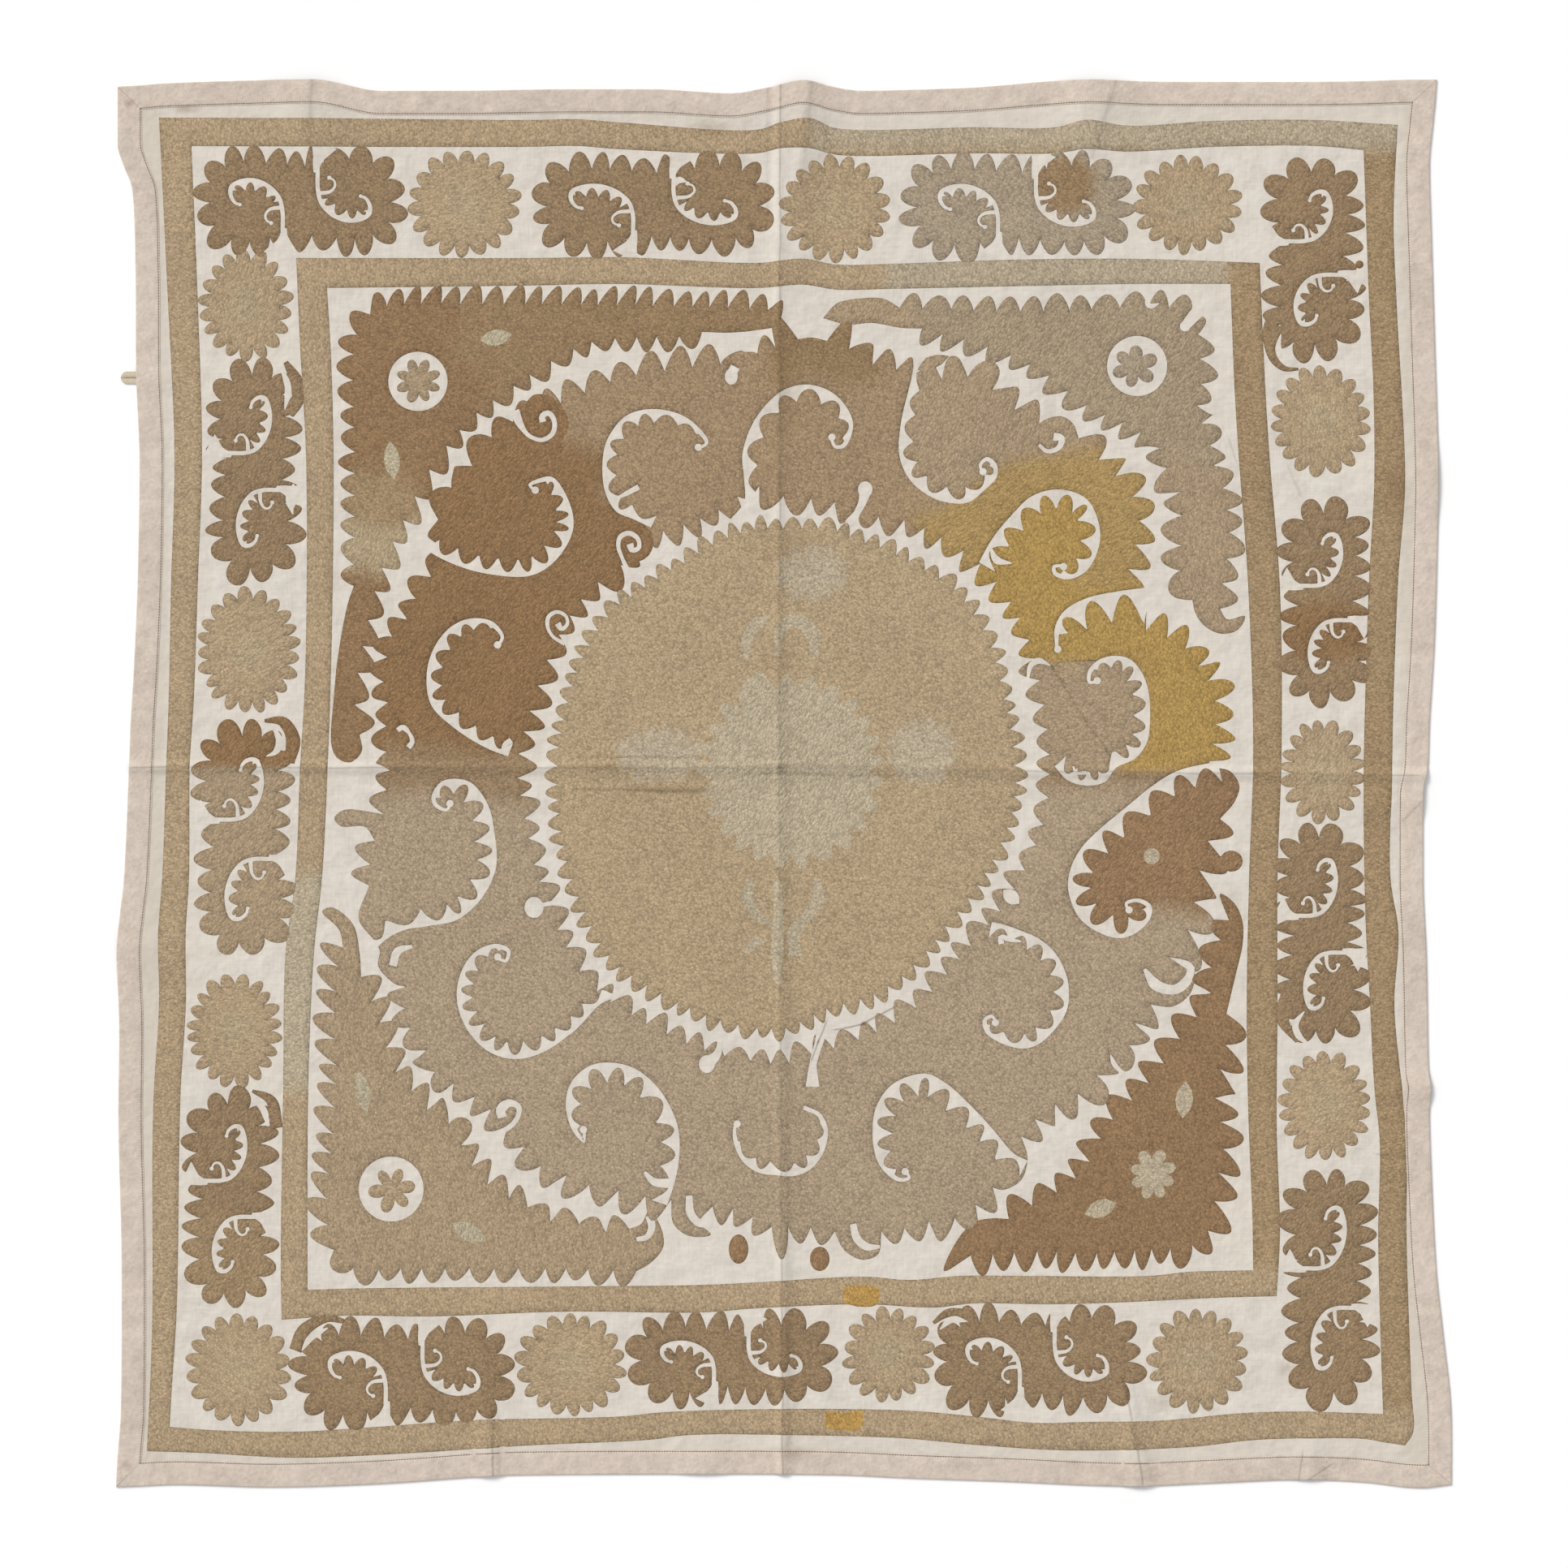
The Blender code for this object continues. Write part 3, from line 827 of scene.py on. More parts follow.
ROSETTES = [  # middle x, y, radii to the tips, teeth
    (572, 251, 70, 67, 18), (1029, 257, 69, 66, 18), (1463, 252, 67, 61, 17),
    (303, 376, 58, 69, 18), (306, 801, 64, 78, 21), (289, 1270, 59, 71, 20),
    (294, 1687, 65, 70, 18), (1627, 519, 62, 70, 18), (1630, 950, 52, 65, 17),
    (1632, 1362, 58, 68, 18), (703, 1681, 69, 64, 18), (1095, 1669, 57, 59, 16),
    (1476, 1676, 62, 65, 17),
]
SCROLLS = [  # middle x, y, half length, half width, turn, colour, bare hooks beside its tails
    (370, 247, 128, 68, 0, BROWN, []),
    (805, 252, 151, 63, 0, BROWN, [[(846, 224), (836, 222), (828, 231)]]),
    (1253, 253, 141, 65, 0, GREY, []),
    (1618, 318, 122, 60, 90, BROWN, [[(1578, 412), (1575, 430), (1582, 444), (1602, 448)]]),
    (313, 581, 136, 55, 90, BROWN, [[(362, 596), (356, 612), (361, 634)],
                                    [(346, 452), (355, 478), (351, 505)]]),
    (301, 1034, 146, 60, 90, TAN, [[(335, 893), (344, 912), (340, 926), (328, 932)]]),
    (283, 1477, 133, 54, 90, BROWN, [[(310, 1350), (325, 1368), (330, 1388)]]),
    (1633, 743, 126, 54, 90, BROWN, []),
    (1627, 1151, 136, 53, 90, BROWN, [[(1607, 1246), (1596, 1262), (1600, 1276), (1614, 1288)]]),
    (1637, 1587, 147, 55, 90, BROWN, []),
    (498, 1692, 136, 68, 0, BROWN, [[(372, 1664), (383, 1648), (404, 1636)]]),
    (901, 1674, 127, 55, 0, BROWN, []),
    (1278, 1675, 128, 67, 0, BROWN, [[(1158, 1638), (1172, 1626), (1192, 1628)]]),
]
SCROLL_TAILS = [  # stitched tails beside the scrolls: number, line, half widths
    (3, [(1570, 388), (1564, 414), (1568, 440), (1582, 454), (1600, 455)], [9, 9, 6, 4, 1.5]),
    (4, [(352, 446), (365, 470), (367, 494), (358, 512)], [3, 8, 8, 4]),
    (5, [(326, 888), (348, 889), (361, 910), (356, 940)], [2, 7, 9, 7]),
    (6, [(311, 1344), (334, 1356), (341, 1390)], [2, 7, 8]),
    (8, [(1588, 1222), (1580, 1254), (1598, 1284)], [9, 8, 2]),
    (10, [(364, 1664), (374, 1640), (402, 1624), (424, 1628)], [8, 8, 6, 3]),
    (12, [(1150, 1630), (1168, 1618), (1198, 1622)], [2, 6, 8]),
]
SCROLL_HALF = [  # half of a scroll's notch line; the other half is the same, turned round
    (-0.865, 0.04), (-0.85, -0.36), (-0.72, -0.6), (-0.5, -0.68), (-0.22, -0.64), (0.05, -0.6),
    (0.25, -0.66), (0.5, -0.74), (0.7, -0.66), (0.83, -0.4),
]
SCROLL_CRESCENT = [
    (-0.585, 0.1), (-0.64, 0.06), (-0.69, -0.1), (-0.68, -0.27), (-0.585, -0.38), (-0.44, -0.4),
    (-0.293, -0.285), (-0.184, -0.057), (-0.15, 0.2), (-0.148, 0.56), (-0.14, 0.9),
]
SCROLL_CURL = [(-0.19, 0.13), (-0.29, 0.16), (-0.335, 0.26), (-0.325, 0.36), (-0.28, 0.41)]
SCROLL_TOOTH_PITCH = 26.0
SCROLL_TOOTH_DEPTH = 21.0


def lay_scroll(layout, number, cx, cy, long, wide, turn, colour, hooks):
    """One S scroll: two toothed lobes, each curled around an inner flower."""
    half = np.array(SCROLL_HALF)
    put = (cx, cy, turn, long, wide)
    base = smooth_curve(turned(np.concatenate([half, -half]), *put), closed=True)
    base = np.concatenate([base, base[:1]])
    count = round(arc_lengths(base)[-1] / SCROLL_TOOTH_PITCH)
    body = teeth(base, count, SCROLL_TOOTH_DEPTH, power=0.72, seed=number + 20, uneven=0.2)[:-1]
    layout.thread(colour, body, turn + 35)
    for whose, line, widths in SCROLL_TAILS:
        if whose == number:
            layout.thread(colour, ribbon(line, widths), turn + 80)
    for sign in (1, -1):
        points = turned(np.array(SCROLL_CRESCENT) * sign, *put)
        seed = number * 2 + sign + 3
        layout.bare(*crescent(points, 17, 4, hook=2.4, seed=seed, start=0.16, end=0.64))
        mouth = turned(np.array([(-0.148, 0.5), (-0.17, 0.72), (-0.23, 1.02)]) * sign, *put)
        layout.bare(ribbon(mouth, [2.5, 7, 17]))
        curl = turned(np.array(SCROLL_CURL) * sign, *put)
        layout.bare(ribbon(curl, [2.6, 2.2, 1.7, 1.4, 1.2]), ellipse(*curl[-1], 2.6))
    for hook in hooks:
        layout.bare(ribbon(hook, [0.8, 4.0, 4.2, 0.6]))


def lay_border():
    """The rosettes and scrolls between the two stripes."""
    layout = Layout("stitched_border_flowers", 2)
    for number, (cx, cy, rx, ry, count) in enumerate(ROSETTES):
        shape = rosette(cx, cy, rx, ry, count, 15.5, seed=number + 1, power=0.64)
        layout.thread(STRIPE, shape, number * 37)
        layout.tint(PALE_CENTRE, rosette(cx, cy, 26, 26, 13, 8, seed=number + 50), number * 37)
    for number, row in enumerate(SCROLLS):
        lay_scroll(layout, number, *row)
    layout.tint(WARM_TAN, ellipse(1313, 228, 36, 36), 35)
    layout.tint(RING_BROWN, box_shape(225, 883, 380, 945), 125)
    layout.tint(LEAF_TAN, box_shape(210, 1500, 360, 1614), 125)
    layout.tint(RING_BROWN, ellipse(1632, 778, 70, 36), 125)
    layout.thread(RING_BROWN, ellipse(1675, 326, 5), 0)
    return layout


# Corner leaves: stretches of notch line, the toothed ones with count, depth, lean and power

TOP_LEFT_LEAF = [
    ([(436, 722), (438, 645), (438, 560), (436, 470), (440, 415), (456, 388)], 12, 19, 0.1, 0.8),
    ([(456, 388), (478, 378), (600, 376), (760, 377), (946, 382)], 21, 23, 0.3, 0.8),
    ([(946, 382), (964, 370), (958, 400), (931, 407), (898, 410), (865, 409)],),
    ([(865, 409), (840, 414), (786, 415), (729, 421), (675, 447), (626, 480), (583, 512),
      (550, 549)], 13, 17, 0.0, 0.95),
    ([(550, 549), (528, 580), (498, 638), (469, 703), (451, 776), (440, 834), (437, 870),
      (443, 905)], 11, 19, 0.4, 1.0),
    ([(443, 905), (446, 925), (433, 939), (418, 936), (409, 921), (412, 852), (416, 812),
      (428, 746), (436, 722)],),
]
TOP_RIGHT_LEAF = [
    ([(1014, 392), (1031, 374), (1058, 368), (1088, 368), (1108, 379)],),
    ([(1108, 381), (1175, 382), (1234, 385), (1300, 384), (1357, 381), (1440, 380)],
     11, 20, 0.1, 0.75),
    ([(1440, 380), (1462, 390), (1476, 412)], 2, 20, 0.0, 0.75),
    ([(1476, 412), (1479, 475), (1474, 510), (1487, 535), (1494, 570), (1506, 602), (1511, 630),
      (1514, 662), (1511, 689), (1505, 718), (1503, 750)], 12, 19, 0.2, 0.9),
    ([(1503, 750), (1512, 763), (1534, 759), (1525, 776), (1505, 781), (1485, 772), (1473, 756),
      (1469, 739)],),
    ([(1469, 739), (1457, 709), (1457, 676), (1458, 639), (1456, 608), (1438, 577)], 5, 25, 0.0, 0.7),
    ([(1438, 577), (1425, 546), (1400, 529), (1357, 508), (1332, 494), (1289, 460), (1241, 435),
      (1188, 418), (1136, 405)], 13, 20, 0.35, 0.9),
    ([(1136, 405), (1110, 404), (1075, 398), (1044, 400), (1014, 392)],),
]
BOTTOM_LEFT_LEAF = [
    ([(412, 1540), (404, 1500), (408, 1440), (413, 1380), (416, 1320), (414, 1260), (417, 1200),
      (423, 1168)], 13, 25, 0.45, 0.75),
    ([(423, 1168), (418, 1146), (397, 1123), (409, 1118), (435, 1139), (443, 1173), (445, 1204)],),
    ([(445, 1204), (467, 1260), (486, 1320), (505, 1343), (530, 1372), (561, 1392), (571, 1421),
      (596, 1456), (621, 1474), (650, 1488)], 12, 22, -0.3, 0.9),
    ([(650, 1488), (680, 1506), (716, 1509), (744, 1518), (775, 1514)], 4, 18, 0.0, 0.9),
    ([(775, 1514), (790, 1508), (800, 1492), (815, 1514), (817, 1537), (799, 1558), (784, 1566)],),
    ([(784, 1566), (700, 1562), (600, 1562), (500, 1562), (430, 1560), (412, 1540)],
     13, 18, 0.1, 0.8),
]
BOTTOM_RIGHT_LEAF = [
    ([(1243, 1502), (1267, 1488), (1295, 1474), (1324, 1454), (1344, 1430), (1365, 1388),
      (1398, 1353), (1422, 1327), (1456, 1277), (1491, 1227), (1493, 1191), (1514, 1134)],
     15, 23, 0.0, 0.95),
    ([(1514, 1134), (1503, 1101), (1521, 1113), (1531, 1136), (1531, 1163), (1523, 1199),
      (1511, 1249)],),
    ([(1511, 1249), (1511, 1277), (1505, 1310), (1496, 1340), (1503, 1381), (1507, 1413),
      (1500, 1450), (1496, 1480), (1488, 1516)], 8, 25, 0.35, 0.9),
    ([(1488, 1516), (1466, 1534), (1420, 1538), (1342, 1543), (1270, 1541), (1196, 1547)],
     12, 23, 0.1, 0.8),
    ([(1196, 1547), (1163, 1566), (1180, 1527), (1200, 1506), (1223, 1501), (1243, 1502)],),
]


def lay_corners():
    """The four leaves in the corners of the middle field."""
    layout = Layout("stitched_corner_leaves", 4)
    layout.thread(LEAF_BROWN, outline(*TOP_LEFT_LEAF), 30)
    layout.tint(WARM_TAN, patch([(520, 340), (1000, 340), (1000, 460), (640, 520), (590, 505),
                                 (604, 470), (556, 432), (572, 388)]), 30)
    layout.tint(LEAF_TAN, patch([(400, 590), (450, 580), (500, 592), (530, 650), (400, 655)]), 35)
    layout.tint(PALE_CENTRE, patch([(405, 650), (440, 640), (475, 655), (520, 640), (530, 700),
                                    (480, 712), (440, 700), (405, 712)]), 100)
    layout.bare(ellipse(515, 470, 36.5))
    layout.thread(TAN, rosette(515, 470, 27.5, 28, 8, 12.5, seed=3, power=0.85), 15)
    layout.thread(GREEN_GREY, lens(611, 416, 20.5, 10, -10), 100)
    layout.thread(GREEN_GREY, lens(483, 567, 24, 10, 84), 20)
    layout.thread(GREY_TAN, outline(*TOP_RIGHT_LEAF), 120)
    layout.tint(TAN, patch([(1000, 360), (1100, 350), (1130, 400), (1100, 440), (1000, 420)]), 120)
    layout.tint(ROSE_TAN, patch([(1400, 590), (1450, 562), (1500, 580), (1550, 556), (1560, 680),
                                 (1550, 800), (1440, 800), (1400, 690)]), 75)
    layout.bare(ellipse(1401, 451, 37))
    layout.thread(GREY, rosette(1398, 451, 28, 27, 6, 14, seed=6, power=0.72, turn=12), 80)
    layout.bare(ribbon([(1412, 364), (1416, 377), (1428, 374)], [0.6, 3.5, 3.2, 0.6]))
    layout.bare(ribbon([(1490, 370), (1473, 387), (1461, 401)], [11, 8, 6]), ellipse(1460, 402, 6.5))
    layout.thread(TAN, outline(*BOTTOM_LEFT_LEAF), 70)
    layout.bare(ellipse(482, 1465, 40))
    layout.thread(STRIPE, rosette(484, 1466, 29, 28, 6, 17, seed=7, power=0.8, turn=20), 10)
    layout.thread(GREEN_GREY, lens(447, 1345, 28, 9, 80), 20)
    layout.thread(GREEN_GREY, lens(578, 1518, 24, 11, 28), 100)
    layout.bare(ribbon([(800, 1498), (803, 1512), (797, 1524), (784, 1527)], [5, 4.6, 3.6, 2.6]))
    layout.thread(LEAF_BROWN, outline(*BOTTOM_RIGHT_LEAF), 50)
    layout.thread(PALE, rosette(1420, 1447, 29, 31, 8, 13, seed=9, power=0.7), 15)
    layout.thread(PALE, lens(1459, 1355, 23, 11, 95), 20)
    layout.thread(PALE, lens(1356, 1489, 21, 11, -20), 100)
    return layout


# The ring around the medallion

RING_OUTER = [
    ([(540, 640), (554, 604), (573, 588), (600, 545), (632, 520)], 4, 19, 0.1, 0.95),
    ([(632, 520), (688, 499), (738, 477), (771, 466), (833, 456), (888, 450)], 8, 25, 0.1, 0.9),
    ([(888, 450), (920, 447), (933, 436)], 1, 18, 0.0, 0.6),
    ([(933, 436), (956, 430)], 1, 20, 0.0, 0.9),
    ([(956, 430), (983, 418)], 1, 38, 0.0, 0.9),
    ([(983, 418), (1000, 416), (1019, 420)],),
    ([(1019, 420), (1046, 430)], 1, 32, 0.0, 0.9),
    ([(1046, 430), (1071, 448), (1104, 456)], 2, 22, 0.0, 0.9),
    ([(1104, 456), (1123, 440), (1126, 462)],),
    ([(1126, 462), (1145, 470), (1181, 465), (1208, 468), (1233, 492), (1258, 511), (1280, 522)],
     5, 25, 0.1, 0.95),
    ([(1280, 522), (1290, 516), (1308, 513), (1322, 522), (1329, 540)],),
    ([(1329, 540), (1345, 556), (1362, 577), (1385, 598), (1403, 631), (1400, 664), (1390, 701)],
     6, 25, 0.2, 1.0),
    ([(1390, 701), (1410, 724), (1412, 777)],),
    ([(1412, 777), (1439, 787), (1463, 802), (1478, 825), (1493, 848), (1498, 878), (1495, 910),
      (1489, 938)], 8, 24, 0.1, 1.0),
    ([(1489, 938), (1497, 945), (1515, 950), (1527, 968), (1521, 988), (1503, 1009)],),
    ([(1503, 1009), (1488, 1036)], 1, 24, -0.2, 1.0),
    ([(1488, 1036), (1480, 1065), (1471, 1095), (1470, 1129), (1458, 1156), (1440, 1179)],
     4, 34, 0.3, 1.0),
    ([(1440, 1179), (1468, 1187), (1472, 1206), (1465, 1226), (1445, 1240), (1418, 1238)],),
    ([(1418, 1238), (1399, 1260), (1388, 1291), (1362, 1302), (1345, 1335), (1317, 1353),
      (1286, 1368), (1258, 1400)], 8, 26, 0.0, 1.0),
    ([(1258, 1400), (1266, 1426), (1258, 1454), (1236, 1466), (1223, 1463)],),
    ([(1223, 1463), (1199, 1486), (1180, 1499), (1148, 1504), (1114, 1513)], 4, 24, 0.1, 1.0),
    ([(1114, 1513), (1086, 1517)], 1, 20, 0.0, 0.9),
    ([(1086, 1517), (1082, 1545), (1062, 1552), (1040, 1540), (1028, 1517)],),
    ([(1028, 1517), (1001, 1512), (971, 1511)], 2, 22, 0.0, 0.9),
    ([(971, 1511), (951, 1511)], 1, 48, 0.0, 0.5),
    ([(951, 1511), (928, 1499), (904, 1489), (878, 1486)], 3, 24, 0.0, 0.9),
    ([(878, 1486), (862, 1506), (876, 1521), (850, 1523), (830, 1508), (827, 1478)],),
    ([(827, 1478), (781, 1471), (752, 1464), (722, 1459), (692, 1445), (663, 1434), (646, 1413)],
     6, 27, 0.2, 1.0),
    ([(646, 1413), (622, 1385), (601, 1363), (563, 1337), (539, 1325), (528, 1299), (510, 1274),
      (500, 1249), (500, 1216)], 9, 21, 0.1, 1.0),
    ([(500, 1216), (486, 1212), (466, 1190), (468, 1172), (462, 1160), (442, 1132), (455, 1091)],),
    ([(455, 1091), (457, 1064), (462, 1036)], 2, 24, 0.0, 1.0),
    ([(462, 1036), (450, 1019), (420, 1018), (412, 1008), (424, 998), (473, 1003)],),
    ([(473, 1003), (477, 971), (481, 943), (475, 920), (478, 868), (473, 845), (477, 814),
      (482, 787), (503, 761), (515, 732), (531, 711)], 11, 18, 0.0, 1.0),
    ([(531, 711), (524, 690), (538, 672), (527, 660), (540, 640)],),
]
GAP_LINE = [  # the bare gap around the medallion, clockwise: x, y, how far it goes into the ring
    (965, 633, 22), (1007, 633, 18), (1035, 637, 16), (1064, 649, 16), (1104, 664, 26),
    (1150, 688, 28), (1186, 712, 28), (1233, 779, 30), (1256, 865, 30), (1268, 940, 26),
    (1266, 995, 24), (1250, 1044, 24), (1218, 1102, 24), (1181, 1150, 22), (1121, 1218, 24),
    (1076, 1244, 28), (1018, 1262, 32), (965, 1285, 26), (918, 1282, 24), (875, 1272, 24),
    (799, 1236, 24), (743, 1196, 24), (706, 1133, 24), (683, 1070, 24), (671, 1001, 26),
    (669, 940, 32), (683, 858, 24), (705, 797, 22), (743, 740, 22), (776, 716, 22),
    (811, 691, 34), (836, 677, 28), (862, 660, 20), (904, 641, 22), (930, 634, 36),
]
GAP_INTO_MEDALLION = 19.0
RING_CRESCENTS = [  # from hook to mouth, width, petals, share of the width left at the mouth
    ([(657, 606), (651, 597), (663, 590), (681, 588), (703, 623), (706, 653), (686, 689),
      (655, 709), (600, 707), (561, 696), (531, 681), (515, 668)], 24, 12, 0.8),
    ([(862, 554), (872, 548), (872, 541), (845, 514), (806, 504), (772, 512), (750, 538),
      (743, 562), (745, 604), (759, 630), (781, 640), (802, 650)], 18, 9, 0.9),
    ([(1022, 540), (1028, 552), (1041, 551), (1051, 521), (1031, 488), (998, 474), (965, 481),
      (932, 514), (915, 558), (917, 592), (917, 618), (900, 640)], 20, 8, 0.9),
    ([(1208, 582), (1206, 572), (1216, 563), (1228, 572), (1228, 588), (1214, 603), (1193, 619),
      (1166, 619), (1143, 610), (1120, 590), (1108, 561), (1110, 521), (1122, 470), (1128, 440)],
     20, 9, 0.6),
    ([(1310, 695), (1297, 697), (1298, 708), (1316, 714), (1339, 703), (1354, 673), (1354, 646),
      (1339, 615), (1306, 603), (1272, 611), (1246, 635), (1223, 663), (1206, 693)], 26, 9, 0.9),
    ([(1300, 800), (1300, 772), (1312, 752), (1339, 737), (1375, 729), (1412, 724), (1440, 720)],
     38, 4, 1.4),
    ([(1352, 842), (1341, 842), (1340, 828), (1352, 814), (1372, 808), (1392, 812), (1407, 829),
      (1415, 852), (1417, 885), (1413, 915), (1398, 935), (1375, 946), (1362, 963), (1339, 968),
      (1315, 961), (1299, 944)], 22, 12, 0.9),
    ([(1388, 1122), (1386, 1112), (1402, 1107), (1418, 1115), (1418, 1130), (1402, 1148),
      (1379, 1156), (1352, 1148), (1329, 1130), (1316, 1096), (1319, 1070), (1332, 1045),
      (1352, 1024), (1388, 994), (1420, 968), (1450, 950), (1500, 938)], 30, 11, 0.9),
    ([(1229, 1258), (1222, 1250), (1211, 1256), (1214, 1272), (1233, 1285), (1259, 1292),
      (1279, 1287), (1299, 1269), (1314, 1246), (1317, 1219), (1312, 1196), (1299, 1173),
      (1279, 1156), (1256, 1146), (1236, 1139), (1222, 1136)], 20, 10, 1.0),
    ([(1118, 1442), (1122, 1452), (1108, 1456), (1090, 1444), (1080, 1428), (1075, 1398),
      (1079, 1365), (1097, 1338), (1120, 1326), (1143, 1323), (1166, 1335), (1196, 1362),
      (1223, 1391), (1249, 1421), (1266, 1430)], 28, 11, 0.8),
    ([(905, 1384), (903, 1392), (904, 1408), (915, 1431), (935, 1445), (958, 1448), (978, 1449),
      (998, 1441), (1014, 1421), (1020, 1392), (1011, 1372), (991, 1362)], 17, 7, 0.2),
    ([(722, 1392), (720, 1408), (706, 1394), (697, 1362), (703, 1335), (723, 1315), (746, 1309),
      (779, 1315), (806, 1335), (825, 1362), (836, 1392), (837, 1425), (832, 1454), (822, 1485)],
     26, 9, 0.8),
    ([(612, 1182), (624, 1186), (629, 1171), (614, 1163), (591, 1169), (574, 1186), (564, 1212),
      (564, 1239), (576, 1269), (601, 1295), (634, 1305), (668, 1297), (709, 1269), (742, 1236),
      (772, 1226)], 22, 15, 0.7),
    ([(557, 992), (550, 1000), (534, 992), (532, 980), (546, 962), (578, 963), (601, 991),
      (610, 1031), (611, 1070), (594, 1106), (564, 1133), (528, 1141), (498, 1146), (478, 1156),
      (462, 1170)], 26, 11, 0.8),
    ([(616, 796), (621, 784), (607, 766), (581, 762), (556, 772), (536, 796), (526, 828),
      (531, 868), (561, 898), (600, 922), (626, 932)], 20, 10, 0.9),
]
RING_HOOKS = [  # bare curls and slips: line, half widths along it
    ([(634, 506), (641, 523), (652, 537), (668, 542), (681, 534), (683, 519), (676, 509),
      (668, 513), (669, 520)], [6, 5, 2.8, 2.4, 2.8, 3, 3, 3.4, 4]),
    ([(776, 670), (779, 678), (787, 675), (786, 664), (775, 657), (764, 662), (762, 674),
      (766, 686), (772, 700)], [4.5, 3, 2.6, 3, 3.2, 2.8, 2.4, 2.2, 3]),
    ([(687, 768), (692, 775), (699, 769), (697, 759), (686, 754), (676, 760), (675, 773),
      (682, 785), (696, 793)], [4, 2.4, 2, 2.2, 2.6, 2.6, 2, 2, 3]),
    ([(490, 900), (496, 896), (504, 903), (508, 914), (503, 921)], [3, 3.5, 2, 3, 3.5]),
    ([(1266, 838), (1270, 820), (1280, 814), (1294, 820)], [1.2, 3, 4, 0.8]),
    ([(1220, 674), (1228, 690), (1246, 694)], [1, 5, 1]),
    ([(1280, 548), (1290, 556), (1304, 552), (1308, 540), (1298, 538)], [2, 2.5, 3, 4, 5]),
    ([(756, 616), (772, 608), (787, 600)], [0.8, 3, 3.5]),
    ([(630, 912), (622, 918), (618, 926)], [3.5, 3.5, 0.8]),
    ([(849, 1473), (851, 1495), (862, 1507), (880, 1508)], [4, 5, 5, 2]),
    ([(1051, 1508), (1056, 1526), (1068, 1536), (1084, 1536)], [4, 5, 5, 2]),
    ([(484, 1190), (490, 1172), (508, 1166)], [5, 5, 2]),
    ([(1410, 1194), (1425, 1214), (1448, 1219), (1464, 1206), (1468, 1190)], [2, 7, 6, 6, 4]),
    ([(1338, 952), (1326, 952), (1322, 944)], [2.5, 2, 1]),
    ([(1234, 1163), (1233, 1155), (1246, 1158), (1258, 1160)], [3.5, 3.5, 2.5, 1]),
    ([(794, 1444), (806, 1456), (826, 1458)], [2, 5, 6]),
    ([(604, 1397), (624, 1391), (637, 1378), (639, 1364), (628, 1359), (617, 1367), (619, 1377)],
     [1, 3, 3.2, 3, 4, 6, 5.5]),
]
RING_DROPS = [(658, 1118, 13), (1066, 603, 10), (871, 1311, 11)]  # middle x, y, half length
RING_SLIPS = [  # bare slips from the drops and the ring's sides: line, half widths along it
    ([(1066, 603), (1063, 618), (1057, 630), (1048, 646)], [8, 5, 4, 8]),
    ([(873, 1309), (884, 1298), (889, 1268)], [8, 3.6, 4]),
    ([(668, 1115), (684, 1112)], [2.5, 3]),
    ([(1001, 1339), (1002, 1310), (1009, 1285), (1015, 1260)], [8.5, 4.5, 5, 8]),
    ([(900, 463), (906, 452)], [6, 6]),
]


def gap_side(in_ring):
    """A side of the bare gap around the medallion, closed and clockwise."""
    table = np.array(GAP_LINE, float)
    line = table[:, :2]
    out = line - line.mean(0)
    out /= np.linalg.norm(out, axis=1)[:, None]
    away = table[:, 2:] if in_ring else -GAP_INTO_MEDALLION
    line = smooth_curve(line + out * away, closed=True)
    return np.concatenate([line, line[:1]])


